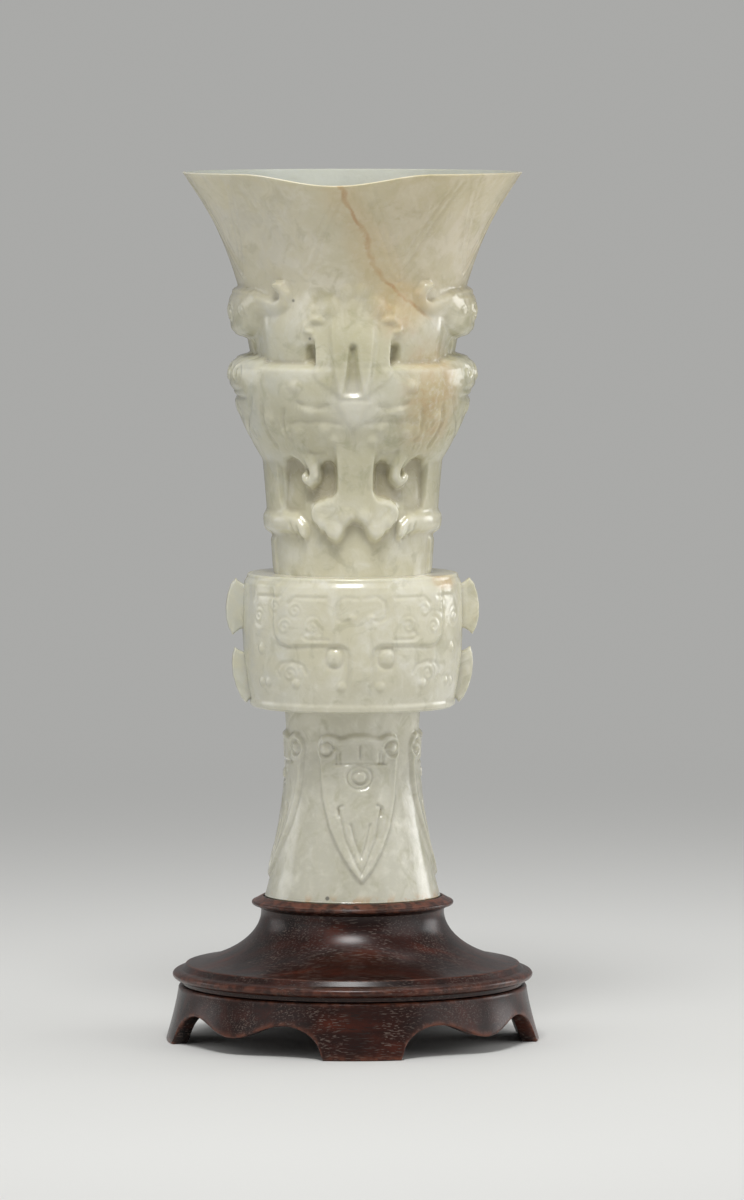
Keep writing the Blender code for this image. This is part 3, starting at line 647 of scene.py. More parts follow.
class StandSizes(PropertyGroup):
    """Sizes of the wooden stand."""

    apron_radius: length("Apron radius", 0.0483, "Outer radius of the apron at its top")
    apron_height: length("Apron height", 0.0154, "Height of the apron ring")
    apron_wall: length("Apron wall", 0.0045, "Thickness of the apron")
    apron_round: length("Apron round", 0.0006, "Rounding of the apron's edges")
    foot_flare: length("Foot flare", 0.0036, "How far the feet spread at the floor")
    foot_width: length("Foot width", 0.0226, "Width of a bracket foot")
    arch_rise: length("Arch rise", 0.0088, "Height of the arches beside the feet")
    arch_peak: amount("Arch peak", 0.57, "Where an arch is highest, from a foot to a pendant")
    flare_power: amount("Flare power", 1.3, "How suddenly the apron spreads")
    pendant_rise: length("Pendant rise", 0.0046, "Height of the lobes between the feet")
    waist_height: length("Waist height", 0.0011, "Height of the recessed line over the apron")
    waist_inset: length("Waist inset", 0.0011, "Depth of that line")
    torus_height: length("Torus height", 0.0030, "Height of the torus")
    torus_reach: length("Torus reach", 0.0017, "How far the torus stands out over the apron")
    fillet_height: length("Fillet height", 0.0015, "Height of the fillet over the torus")
    fillet_inset: length("Fillet inset", 0.0021, "How far the fillet's top lies in from the apron")
    fillet_slope: length("Fillet slope", 0.0012, "How far the fillet spreads down to the torus")
    collar_height: length("Collar height", 0.0041, "Height of the collar over the cove")
    collar_wall: length("Collar wall", 0.0033, "Width of the collar round the seat")
    collar_slope: length("Collar slope", 0.0012, "Fall of the collar's top to its edge")
    collar_edge: length("Collar edge", 0.0013, "Height of the collar's edge")
    collar_round: length("Collar round", 0.00065, "Rounding of the collar's edge")
    neck_wall: length("Neck wall", 0.0007, "How far the top of the cove lies outside the seat")
    seat_floor: length("Seat floor", 0.0060, "Thickness of the wood under the seat")
    spigot_height: length("Spigot height", 0.0030, "Height of the spigot inside the apron")
    spigot_wall: length("Spigot wall", 0.0032, "Thickness of the spigot")
    cove_height: length("Cove height", 0.0147, "Height of the hollow curve")
    cove_power: amount("Cove power", 2.1, "Shape of the hollow curve")
    cove_slope: length("Cove slope", 0.0030, "Even fall along the hollow curve")


class Finishes(PropertyGroup):
    """Colours of the stone, the wood and the studio."""

    jade_body: tint("Jade body", (0.602, 0.566, 0.398), "Main colour of the jade")
    jade_green: tint("Jade green", (0.398, 0.382, 0.248), "Greener and greyer clouds")
    # Jade white also gives the painted highlight along the ridges and the painted light on the mouth and the
    # knop's band
    jade_white: tint("Jade white", (0.755, 0.735, 0.630), "Whiter clouds, ridges and flecks")
    jade_pale: tint("Jade pale", (0.505, 0.494, 0.414), "Paler stone of the foot and knop")
    jade_cool: tint("Jade cool", (0.500, 0.505, 0.440), "Cool grey clouds of one side")
    # Painted shade: a brown darkening laid into the carved recesses
    jade_painted_shade: tint("Jade painted shade", (0.250, 0.203, 0.117), "Brown shade of the recesses")
    # Painted light: the bore's inner wall is the same stone, tinted cool white for how it looks lit
    jade_bore_light: tint("Jade bore light", (0.330, 0.360, 0.340), "Cool white of the bore")
    jade_honey: tint("Jade honey", (0.600, 0.465, 0.245), "Warm stain of the mouth, the patch and the vein")
    jade_russet: tint("Jade russet", (0.480, 0.285, 0.120), "Vein, spots and the dirt round the foot")
    jade_speck: tint("Jade speck", (0.05, 0.05, 0.04), "Small dark inclusions")
    wood_dark: tint("Wood dark", (0.0050, 0.0020, 0.0014), "Dark streaks")
    wood_red: tint("Wood red", (0.034, 0.0056, 0.0020), "Red-brown body")
    wood_blush: tint("Wood blush", (0.105, 0.0190, 0.0065), "Redder patches")
    wood_worn: tint("Wood worn", (0.170, 0.055, 0.030), "Rubbed edges")
    wood_pore: tint("Wood pore", (0.200, 0.145, 0.120), "Wax and dust in the pores")
    floor: tint("Floor", (0.70, 0.70, 0.68), "Floor")
    distance: tint("Distance", (0.40, 0.40, 0.39), "Far floor and world as the camera sees them")


class StudioSettings(PropertyGroup):
    """Camera and lamps."""

    distance: length("Camera distance", 2.30, "Distance of the camera from the vase's axis")
    height: length("Camera height", 0.282, "Height of the camera")
    azimuth: amount("Camera azimuth", -3.0, "Degrees that the camera stands round from the front")
    aim_right: length("Aim right", 0.0054, "How far right of the axis the camera looks")
    aim_height: length("Aim height", 0.1222, "Height that the camera looks at")
    frame_height: length("Frame height", 0.3325, "Height of the picture at the vase")
    key: amount("Key lamp", 1.5, "Watts of the large lamp at the left")
    fill: amount("Fill lamp", 2.8, "Watts of the lamp at the right")
    top: amount("Top lamp", 2.0, "Watts of the lamp overhead")
    front: amount("Front lamp", 6.0, "Watts of the small lamp over the front")
    edge: amount("Edge lamps", 1.4, "Watts of the lamp behind the right side. The left one has a share of it")
    world: amount("World", 0.28, "Strength of the even light from all round")


def heights(sizes):
    """Heights over the floor that stack up from the vase's sizes."""
    at = SimpleNamespace(base=VASE_BASE)
    at.knop_bottom = at.base + sizes.foot_height
    at.knop_top = at.knop_bottom + sizes.knop_height
    at.belly_bottom = at.knop_top + sizes.neck_height
    at.belly_top = at.belly_bottom + sizes.belly_height
    at.rim = at.belly_top + sizes.mouth_height
    at.bore = at.knop_top - sizes.bore_below_neck
    return at


def smooth_step(low, high, value):
    """Share that eases from 0 at low to 1 at high: 3s^2 - 2s^3 of the clamped distance."""
    share = np.clip((value - low) / (high - low), 0.0, 1.0)
    return share * share * (3.0 - 2.0 * share)


def stroke_share(across, up, path):
    """Distance to a path of (across, up, half width) points over the half width there: 1 at its edge."""
    nearest = np.full(np.broadcast(across, up).shape, np.inf)
    for (x_near, z_near, w_near), (x_far, z_far, w_far) in zip(path, path[1:]):
        run = x_far - x_near
        climb = z_far - z_near
        share = ((across - x_near) * run + (up - z_near) * climb) / (run * run + climb * climb)
        share = np.clip(share, 0.0, 1.0)
        away = np.hypot(across - x_near - share * run, up - z_near - share * climb)
        nearest = np.minimum(nearest, away / (w_near + (w_far - w_near) * share))
    return nearest


def outline_distance(across, up, outline):
    """Signed distance to a closed outline of (across, up) points: below 0 inside, by crossing counts."""
    nearest = np.full(np.broadcast(across, up).shape, np.inf)
    inside = np.zeros(nearest.shape, bool)
    for (x_near, z_near), (x_far, z_far) in zip(outline, outline[1:] + outline[:1]):
        run = x_far - x_near
        climb = z_far - z_near
        share = ((across - x_near) * run + (up - z_near) * climb) / max(run * run + climb * climb, 1e-12)
        share = np.clip(share, 0.0, 1.0)
        nearest = np.minimum(nearest, np.hypot(across - x_near - share * run, up - z_near - share * climb))
        if climb:
            inside ^= ((z_near > up) != (z_far > up)) & (across < x_near + (up - z_near) * run / climb)
    return np.where(inside, -nearest, nearest)


def whole(outline):
    """Outline of both halves, from the half that runs between two points on the middle line."""
    return outline + tuple((-across, up) for across, up in outline[-2:0:-1])


def dome(share):
    """Round section of a stroke: the height of a unit circle at a share of its half width."""
    return np.sqrt(np.clip(1.0 - share * share, 0.0, 1.0))


def scroll_fade(away, radius):
    """Share that fades out at the edge of a scroll."""
    return smooth_step(radius * SCROLL_FADE[0], radius * SCROLL_FADE[1], away)


def scroll(across, up, middle, radius):
    """Spiral ridge: a cosine of the distance from its middle less the turn round it, faded at its edge."""
    run = across - middle[0]
    climb = up - middle[1]
    away = np.hypot(run, climb)
    turns = np.arctan2(climb, run) / math.tau
    pitch = radius / SCROLL_TURNS
    ridge = 0.5 + 0.5 * np.cos(math.tau * (away / pitch - turns))
    return ridge * scroll_fade(away, radius)


def bell(value, middle, width):
    """Bell curve: 1 at a middle and 1/e at a width from it."""
    return np.exp(-(((value - middle) / width) ** 2))


def plate(across, up, outline, edge):
    """Flat share inside an outline, eased over a span of distances from it."""
    return smooth_step(*edge, outline_distance(across, up, outline))


def bosses(across, up, points, power=1.0):
    """Round bosses at points of (across, up, radius): domes raised to a power."""
    return sum(dome(np.hypot(across - x, up - z) / radius) ** power for x, z, radius in points)


def grooves(across, up, lines, half_width, edge):
    """Lines cut with a round section: a share that eases over a span of the half width."""
    cuts = []
    for line in lines:
        path = [(x, z, half_width) for x, z in line]
        cuts.append(smooth_step(*edge, stroke_share(across, up, path)))
    return sum(cuts)


def soften(values, passes):
    """Rounds a field off: each pass mixes a point with its neighbours round and along the piece."""
    for _ in range(passes):
        values = (np.roll(values, 1, 1) + 2.0 * values + np.roll(values, -1, 1)) / 4.0
        padded = np.vstack((values[:1], values, values[-1:]))
        values = (padded[:-2] + 2.0 * padded[1:-1] + padded[2:]) / 4.0
    return values


def folded(angles, turn, sectors):
    """Angle from the middle of the nearest of some equal sectors, from 0 up to half a sector."""
    sector = math.tau / sectors
    shifted = angles - math.radians(turn) + sector / 2
    return np.abs(np.mod(shifted, sector) - sector / 2)


def spread(points, radius_at, start):
    """Points of (degrees, rise, ...) laid out flat as (arc length, height, ...)."""
    laid = []
    for degrees, rise, *rest in points:
        height = start + rise
        laid.append((math.radians(degrees) * float(radius_at(height)), height, *rest))
    return tuple(laid)


def foot_radius(sizes, height):
    """Foot: a power flare below its waist and a square swell above it."""
    rise = np.asarray(height) - VASE_BASE
    below = np.clip((sizes.foot_waist_rise - rise) / sizes.foot_waist_rise, 0.0, None)
    above = np.clip((rise - sizes.foot_waist_rise) / (sizes.foot_height - sizes.foot_waist_rise), 0.0, 1.0)
    flare = (sizes.foot_base - sizes.foot_waist) * below**sizes.foot_power
    return sizes.foot_waist + flare + (sizes.foot_top - sizes.foot_waist) * above**2


def knop_radius(sizes, height):
    """Knop: two half parabolas that meet at its swell."""
    rise = np.asarray(height) - heights(sizes).knop_bottom - sizes.knop_swell_rise
    low = (sizes.knop_radius - sizes.knop_base) * (rise / sizes.knop_swell_rise) ** 2
    high = (sizes.knop_radius - sizes.knop_top) * (rise / (sizes.knop_height - sizes.knop_swell_rise)) ** 2
    return sizes.knop_radius - np.where(rise < 0.0, low, high)


def trumpet_radius(sizes, height):
    """Trumpet: a straight taper plus an exponential flare that ends at the mouth's radius."""
    at = heights(sizes)
    rise = np.asarray(height) - at.knop_top
    reach = at.rim - at.knop_top
    fade = math.exp(-reach / sizes.flare_length)
    flare = (sizes.mouth_radius - sizes.neck_radius - sizes.neck_taper * reach) / (1.0 - fade)
    growth = np.exp((rise - reach) / sizes.flare_length) - fade
    return sizes.neck_radius + sizes.neck_taper * rise + flare * growth


def belly_proud(sizes, height):
    """How far the belly stands out of the trumpet: a cubic curve from its shoulder to its lower edge."""
    at = heights(sizes)
    share = np.linspace(0.0, 1.0, BELLY_CURVE_POINTS)
    rest = 1.0 - share
    shoulder = float(trumpet_radius(sizes, at.belly_top))
    bottom = float(trumpet_radius(sizes, at.belly_bottom))
    top_r = shoulder + sizes.belly_shoulder
    swell_r = shoulder + sizes.belly_swell
    flank_r = bottom + sizes.belly_flank
    radii = (top_r, swell_r, flank_r, bottom)
    swell_z = at.belly_top - sizes.belly_height * BELLY_PULLS[0]
    flank_z = at.belly_bottom + sizes.belly_height * BELLY_PULLS[1]
    levels = (at.belly_top, swell_z, flank_z, at.belly_bottom)
    weights = (rest**3, 3 * rest**2 * share, 3 * rest * share**2, share**3)
    radius = sum(weight * value for weight, value in zip(weights, radii))
    level = sum(weight * value for weight, value in zip(weights, levels))
    proud = np.interp(height, level[::-1], radius[::-1]) - trumpet_radius(sizes, height)
    return np.where((height < at.belly_bottom) | (height > at.belly_top), 0.0, proud)


def belly_field(sizes, carving, angles, height):
    """Where each point of the belly lies on its folded surface, and how outlines are laid out on that."""
    start = heights(sizes).belly_bottom

    def laid_radius(level):
        return trumpet_radius(sizes, level) + carving.horn

    def laid(points):
        return spread(points, laid_radius, start)

    round_body = folded(angles, MASK_TURN, 2)
    round_trunk = folded(angles, TRUNK_TURN, 2)
    return SimpleNamespace(
        laid=laid,
        across=round_body * laid_radius(height),
        trunk_across=round_trunk * laid_radius(height),
        degrees=np.degrees(round_body),
        height=height,
        rise=height - start,
    )


def arch_share(field):
    """Niches under the belly: 1 inside an arch, eased to 0 at its outline."""
    niches = [
        plate(field.trunk_across, field.height, field.laid(arch), MASK_EDGES.arch)
        for arch in (OUTER_ARCH, INNER_ARCH)
    ]
    return np.maximum.reduce(niches)


def blend(first, second, reach):
    """Greater of two heights, with the crease between them filled over a reach."""
    share = np.clip(0.5 + 0.5 * (first - second) / reach, 0.0, 1.0)
    fill = reach * share * (1.0 - share) * smooth_step(0.0, BLEND_START, np.minimum(first, second))
    return second + (first - second) * share + fill


def face_height(carving, field):
    """Height of the face: it falls towards the mouth and a little to each side."""
    crown = 1.0 - FACE_CROWN_DROP * smooth_step(*MASK_SIDES.face_crown, field.degrees)
    return carving.face * smooth_step(*MASK_RISES.face, field.rise) * crown


def face_plate(carving, field):
    """Face: a plate whose edge is softer at the top."""
    edge = outline_distance(field.across, field.height, whole(field.laid(FACE_OUTLINE)))
    soft = FACE_SOFT[0] + FACE_SOFT[1] * smooth_step(*MASK_RISES.face_soft, field.rise)
    return face_height(carving, field) * smooth_step(*FACE_EDGE, edge / soft)


def cheek_plate(carving, field):
    """Cheeks between the horns and the belly, with a window sunk beside the nose and raised temples."""
    sides = MASK_SIDES
    rises = MASK_RISES
    cheek = carving.cheek * smooth_step(*sides.cheek_inner, field.degrees)
    cheek = cheek * smooth_step(*sides.cheek_outer, field.degrees)
    cheek = cheek * smooth_step(*rises.cheek_top, field.rise) * smooth_step(*rises.cheek_foot, field.rise)
    depth = WINDOW_DEPTH[0] + WINDOW_DEPTH[1] * smooth_step(*sides.window, field.degrees)
    window = plate(field.across, field.height, field.laid(NOSE_WINDOW), MASK_EDGES.window)
    temple = smooth_step(*sides.temple, field.degrees) * smooth_step(*rises.temple, field.rise)
    return cheek * (1.0 - depth * window) + carving.temple * temple * (field.rise > TEMPLE_FOOT)


def horn_height(carving, field):
    """Height of the horns: fuller at the sides, where they sag from top to foot."""
    level = carving.horn * (HORN_LEVEL[0] + HORN_LEVEL[1] * smooth_step(*MASK_SIDES.horn, field.degrees))
    sag = HORN_SAG[1] * smooth_step(*MASK_RISES.horn_foot, field.rise)
    sag = sag - HORN_SAG[0] * smooth_step(*MASK_RISES.horn_top, field.rise)
    return level * (1.0 + sag * smooth_step(*MASK_SIDES.horn_sag, field.degrees))


def trunk_plate(carving, field):
    """Trunk: a plate with a soft edge that stands out further towards its root."""
    edge = outline_distance(field.trunk_across, field.height, whole(field.laid(TRUNK_OUTLINE)))
    soft = TRUNK_SOFT[0] + TRUNK_SOFT[1] * smooth_step(*MASK_RISES.trunk_soft, field.rise)
    swell = 1.0 + TRUNK_SWELL * smooth_step(*MASK_RISES.trunk, field.rise)
    return carving.trunk * smooth_step(*TRUNK_EDGE, edge / soft) * swell


def mask_masses(sizes, carving, field):
    """Large forms of the mask: plates and round strokes joined by their greatest height, then blended."""
    sides = MASK_SIDES
    rises = MASK_RISES
    powers = STROKE_POWERS
    height = field.height
    belly_top = heights(sizes).belly_top

    def ridge(path, power, across=field.across):
        return dome(stroke_share(across, height, field.laid(path))) ** power

    belly = belly_proud(sizes, np.minimum(height, belly_top))
    belly = belly * smooth_step(*rises.ledge, field.rise - sizes.belly_height)
    arch = arch_share(field)
    belly = belly * (1.0 - arch) - carving.arch * arch * smooth_step(*rises.arch, field.rise)
    ear = belly_proud(sizes, np.minimum(height, belly_top - EAR_TOP_GAP))
    ear = ear + carving.ear * smooth_step(*sides.ear, field.degrees)
    skirt = smooth_step(*sides.skirt, field.degrees) * smooth_step(*rises.skirt, field.rise)
    forms = (
        ear * ridge(EAR_PATH, powers.ear),
        cheek_plate(carving, field),
        horn_height(carving, field) * ridge(HORN_PATH, powers.horn),
        (face_height(carving, field) + carving.brow) * ridge(BROW_PATH, powers.brow),
        carving.fang * ridge(FANG_PATH, powers.fang, field.trunk_across),
        carving.claw * ridge(CLAW_PATH, powers.claw),
        carving.pillar * plate(field.across, height, field.laid(PILLAR_OUTLINE), MASK_EDGES.pillar),
        carving.skirt * skirt,
    )
    carved = np.maximum.reduce(forms)
    relief = np.where(carved > LEAST_HEIGHT, np.maximum(belly, carved), belly)
    for form, reach in ((face_plate(carving, field), FACE_BLEND), (trunk_plate(carving, field), TRUNK_BLEND)):
        relief = np.where(form > LEAST_HEIGHT, blend(form, relief, reach), relief)
    return relief


def mask_details(carving, field):
    """Fine forms of the mask, added to the large ones: nose, slot, pits, rims, bosses, lines and scrolls."""
    sides = MASK_SIDES
    rises = MASK_RISES
    edges = MASK_EDGES
    laid = field.laid
    across = field.across
    height = field.height
    detail = carving.wing * plate(across, height, whole(laid(FACE_OUTLINE)), edges.wing)
    detail = detail * smooth_step(*rises.wing, field.rise)
    nose = plate(across, height, whole(laid(NOSE_OUTLINE)), edges.nose)
    detail = detail + carving.nose * nose * smooth_step(*rises.nose, field.rise)
    detail = detail - carving.slot * plate(across, height, whole(laid(NOSE_SLOT)), edges.slot)
    detail = detail + carving.tip * plate(across, height, whole(laid(NOSE_TIP)), edges.tip)
    detail = detail - carving.pit * plate(across, height, laid(SIDE_PIT), edges.pit)

    horn_rim = bell(stroke_share(across, height, laid(HORN_PATH)), RIM_SHARE, HORN_RIM_WIDTH)
    horn_rim = horn_rim * smooth_step(*sides.horn_rim, field.degrees)
    ear_rim = bell(stroke_share(across, height, laid(EAR_PATH)), RIM_SHARE, EAR_RIM_WIDTH)
    ear_rim = ear_rim * smooth_step(*sides.ear_rim, field.degrees)
    detail = detail - RIM_DEPTH * carving.line * np.maximum(horn_rim, ear_rim)

    for place, points in ((across, FACE_BOSSES), (field.trunk_across, TRUNK_BOSSES)):
        detail = detail + carving.boss * bosses(place, height, laid(points), STROKE_POWERS.boss)
    for lines, half_width, depth in BELLY_CUTS:
        cuts = grooves(across, height, map(laid, lines), half_width, BELLY_LINE_EDGE)
        detail = detail - depth * carving.line * cuts
    lines, half_width, depth = EAR_CUT
    cuts = grooves(across, height, map(laid, lines), half_width, BELLY_LINE_EDGE)
    detail = detail - depth * carving.line * cuts * smooth_step(*sides.ear_line, field.degrees)
    for x, z, radius in laid(BELLY_SCROLLS):
        curl = scroll(across, height, (x, z), radius) - BELLY_SCROLL_FLOOR
        curl = curl * scroll_fade(np.hypot(across - x, height - z), radius)
        detail = detail + BELLY_SCROLL_HEIGHT * carving.line * curl
    return detail


def mouth_relief(sizes, carving, angles, height):
    """Eight hanging leaves cut thinly round the mouth: nested outlines and a pair of scrolls in each."""
    at = heights(sizes)
    tip = at.belly_bottom + MOUTH.tip_rise
    share = np.clip((height - tip) / (at.rim - MOUTH.top_gap - tip), 0.0, 1.0)
    radius = trumpet_radius(sizes, height)
    across = folded(angles, MASK_TURN + 180.0 / MOUTH.leaves, MOUTH.leaves) * radius
    edge = math.radians(MOUTH.half_width) * radius * share**MOUTH.power
    inset = (edge - across) * MOUTH.slant
    shown = (height > tip) * smooth_step(*MOUTH.fade, at.rim - height)
    relief = MOUTH.plate * smooth_step(*MOUTH.edge, inset)
    for depth in MOUTH.lines:
        relief = relief - bell(inset, depth, MOUTH.line_width)
    for place, rise, size in MOUTH.scrolls:
        relief = relief + MOUTH.scroll * scroll(across, height, (place, tip + rise), size)
    return carving.mouth * relief * shown


def knop_relief(sizes, carving, angles, height):
    """Low mask of the knop: a stepped brow and nose, square eyes, cut lines, scrolls and beads."""
    start = heights(sizes).knop_bottom

    def laid(points):
        return spread(points, lambda level: knop_radius(sizes, level), start)

    across = folded(angles, KNOP_TURN, 2) * knop_radius(sizes, height)
    rise = height - start
    side = math.radians(KNOP.side) * sizes.knop_radius

    brow = laid(KNOP_BROW)
    brow_top = start + KNOP.brow_top
    outline = ((0.0, brow[0][1]),) + brow + ((brow[-1][0], brow_top), (0.0, brow_top))
    edge = outline_distance(across, height, whole(outline))
    relief = smooth_step(*KNOP.brow_edge, edge)
    relief = relief - KNOP.groove * bell(edge, KNOP.groove_place, KNOP.groove_width)
    relief = relief * smooth_step(*KNOP.brow_fade, rise)

    (x, z, half_width), = laid((KNOP_EYE,))
    wide = np.abs((across - x) / half_width) ** KNOP.eye_power
    tall = np.abs((height - z) / half_width / KNOP.eye_tall) ** KNOP.eye_power
    eye = (wide + tall) ** (1.0 / KNOP.eye_power)
    relief = relief + dome(eye / KNOP.eye_dome)
    relief = relief - KNOP.eye_ring_depth * bell(eye, KNOP.eye_ring, KNOP.eye_ring_width)

    lines = grooves(across, height, map(laid, KNOP_LINES), KNOP.line_width, KNOP.line_edge)
    relief = relief - KNOP.line * lines
    for x, z, radius in laid(KNOP_SCROLLS):
        away = np.hypot(across - x, height - z)
        ground = KNOP.scroll_floor * smooth_step(radius * KNOP.scroll_floor_fade, radius, away)
        relief = relief + KNOP.scroll * (scroll(across, height, (x, z), radius) - ground)
    relief = relief + bosses(across, height, laid(KNOP_BEADS))
    shown = smooth_step(*KNOP.side_fade, across - side)
    shown = shown * smooth_step(*KNOP.foot_fade, rise) * smooth_step(*KNOP.top_fade, rise)
    return carving.knop * (relief * shown + KNOP.moulding * smooth_step(*KNOP.moulding_edge, rise))


def leaf_relief(sizes, carving, angles, height):
    """Hanging leaves of the foot: a raised plate with volutes, a ringed boss and nested cut lines."""

    def laid(points):
        return spread(points, lambda level: foot_radius(sizes, level), VASE_BASE)

    round_body = folded(angles, LEAF_TURN, LEAF.leaves)
    across = round_body * foot_radius(sizes, height)
    rise = height - VASE_BASE
    edge = outline_distance(across, height, whole(laid(LEAF_OUTLINE)))
    relief = smooth_step(*LEAF.edge, edge) + LEAF.rim * bell(edge, LEAF.rim_place, LEAF.rim_width)

    (x, z, radius), = laid((LEAF_VOLUTE,))
    away = np.hypot(across - x, height - z) / radius
    turns = np.arctan2(height - z, across - x) / math.tau
    relief = relief + LEAF.volute * smooth_step(*LEAF.volute_edge, away)
    relief = relief - LEAF.coil * bell(away - LEAF.coil_pitch * turns, LEAF.coil_place, LEAF.coil_width)
    relief = relief + LEAF.bead * dome(away / LEAF.volute_bead)

    (x, z, radius), = laid((LEAF_BOSS,))
    away = np.hypot(across - x, (height - z) * LEAF.boss_flat) / radius
    relief = relief + LEAF.bead * dome(away / LEAF.boss_bead)
    for ring in LEAF.rings:
        relief = relief - LEAF.ring * bell(away, ring, LEAF.ring_width)
    lines = grooves(across, height, map(laid, LEAF_LINES), LEAF.line_width, LEAF.line_edge)
    relief = relief - LEAF.line * lines * smooth_step(*LEAF.line_inside, edge)

    flute = np.cos(np.degrees(round_body) / LEAF.flute_angle * math.tau)
    flute = flute * smooth_step(*LEAF.flute_outside, edge)
    flute = flute * smooth_step(*LEAF.flute_foot, rise) * smooth_step(*LEAF.flute_top, rise)
    return carving.leaf * relief - carving.flute * flute


def put_mesh(name, points, quads, fans=()):
    """Mesh object from an array of points, an array of four-cornered faces and one of three-cornered ones."""
    corners = np.concatenate([np.asarray(part).ravel() for part in (quads, *fans)])
    counts = np.concatenate([np.full(len(part), np.shape(part)[1]) for part in (quads, *fans)])
    mesh = bpy.data.meshes.new(name)
    mesh.vertices.add(len(points))
    mesh.vertices.foreach_set("co", np.ascontiguousarray(points, np.float32).ravel())
    mesh.loops.add(len(corners))
    mesh.loops.foreach_set("vertex_index", corners.astype(np.int32))
    mesh.polygons.add(len(counts))
    mesh.polygons.foreach_set("loop_start", np.concatenate(([0], np.cumsum(counts)[:-1])).astype(np.int32))
    mesh.update(calc_edges=True)
    mesh.validate()
    mesh.shade_smooth()
    mesh.set_sharp_from_angle(angle=math.radians(SHARP_ANGLE))
    piece = bpy.data.objects.new(name, mesh)
    bpy.context.scene.collection.objects.link(piece)
    return piece


def grid_faces(rows, columns, closed_rows):
    """Corners of the faces between neighbouring rows and columns. The last column joins the first."""
    row = np.arange(rows if closed_rows else rows - 1)[:, None]
    column = np.arange(columns)[None, :]
    beside = (column + 1) % columns
    low = row * columns
    high = (row + 1) % rows * columns
    corners = (low + column, low + beside, high + beside, high + column)
    return np.stack(corners, -1).reshape(-1, 4)


def closed_sheet(name, points):
    """Surface from a grid of points that is joined round and shut at both ends by a point on its middle."""
    rows, columns = points.shape[:2]
    first = rows * columns
    ends = np.stack((points[0].mean(0), points[-1].mean(0)))
    column = np.arange(columns)
    beside = (column + 1) % columns
    low_fan = np.stack((np.full(columns, first), beside, column), -1)
    last = (rows - 1) * columns
    high_fan = np.stack((np.full(columns, first + 1), last + column, last + beside), -1)
    return put_mesh(
        name,
        np.vstack((points.reshape(-1, 3), ends)),
        grid_faces(rows, columns, False),
        (low_fan, high_fan),
    )


def ring_sheet(name, points):
    """Surface from a grid of points that is joined round both ways."""
    rows, columns = points.shape[:2]
    return put_mesh(name, points.reshape(-1, 3), grid_faces(rows, columns, True))


def round_angles(columns):
    """Even angles round the axis, from 0 at the front."""
    return np.arange(columns) * math.tau / columns


def round_points(radius, height, columns):
    """Points of a turned grid from its radius and height, arrays of rows by columns."""
    angles = round_angles(columns)
    shape = np.broadcast(radius, height, angles).shape
    radius = np.broadcast_to(radius, shape)
    return np.stack(
        (radius * np.sin(angles), -radius * np.cos(angles), np.broadcast_to(height, shape)),
        -1,
    )


def store(piece, name, values):
    """Keeps a number for each point of a piece, padded with 0 for its closing points."""
    flat = np.zeros(len(piece.data.vertices), np.float32)
    flat[: values.size] = values.ravel()
    piece.data.attributes.new(name, "FLOAT", "POINT").data.foreach_set("value", flat)


def arc_rows(middle, radii, turns):
    """Profile points along an ellipse about a middle, at turns from the level."""
    return np.stack((middle[0] + radii[0] * np.cos(turns), middle[1] + radii[1] * np.sin(turns)), -1)


def line_rows(start, end, count):
    """Profile points along a straight line, with the end left out."""
    share = np.linspace(0.0, 1.0, count, endpoint=False)[:, None]
    return np.asarray(start) + (np.asarray(end) - np.asarray(start)) * share


def jade_piece(piece):
    """Finish and body of a piece of the stone."""
    piece.data.materials.append(bpy.data.materials["polished_jade"])
    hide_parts("vase")
    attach(piece, "vase")


def wood_piece(piece, node):
    """Finish and body of a piece of the stand."""
    piece.data.materials.append(bpy.data.materials["waxed_hardwood"])
    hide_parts(node)
    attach(piece, "stand")


def carved_piece(name, sheet, ends, plain, height, relief, depth):
    """Turned piece of stone whose side carries a relief, between the plain rows before and after it.

    The radius of the side is the plain radius plus the relief. How far each point lies below its
    surroundings, over a depth, is kept for the finish, which paints shade into the hollows and a
    highlight onto the ridges from it.
    """
    before, after = ends
    columns = relief.shape[1]
    wide = np.ones((1, columns))
    radius = np.vstack((before[:, :1] * wide, plain + relief, after[:, :1] * wide))
    level = np.vstack((before[:, 1:] * wide, height, after[:, 1:] * wide))
    piece = sheet(name, round_points(radius, level, columns))
    # How far each point lies below its surroundings: the finish paints shade into the hollows and a highlight
    # onto the ridges from it
    hollows = np.zeros_like(radius)
    hollows[len(before) : len(before) + len(relief)] = (soften(relief, SUNK_PASSES) - relief) / depth
    store(piece, "hollow", hollows)
    jade_piece(piece)


def trumpet_bore(sizes):
    """Radius and height of the rows from the lip down the bore to the middle of its round-edged floor."""
    at = heights(sizes)
    half_lip = sizes.lip / 2
    corner = sizes.bore_round
    lip_turn = np.linspace(0.0, math.pi, 6)[1:-1]
    lip_middle = float(trumpet_radius(sizes, at.rim)) - half_lip
    lip = arc_rows((lip_middle, at.rim - half_lip), (half_lip, half_lip), lip_turn)
    deep = np.linspace(0.0, 1.0, 9)[1:]
    wall_z = at.rim - half_lip - (at.rim - half_lip - at.bore - corner) * deep
    wall = sizes.lip + (sizes.bore_wall - sizes.lip) * deep
    wall_r = trumpet_radius(sizes, np.maximum(wall_z, at.knop_top)) - wall
    turn = np.linspace(0.0, math.pi / 2, 5)[1:]
    floor = arc_rows((wall_r[-1] - corner, at.bore + corner), (corner, -corner), turn)
    return np.vstack((lip, np.stack((wall_r, wall_z), -1), floor, [[SHUT_RADIUS, at.bore]]))


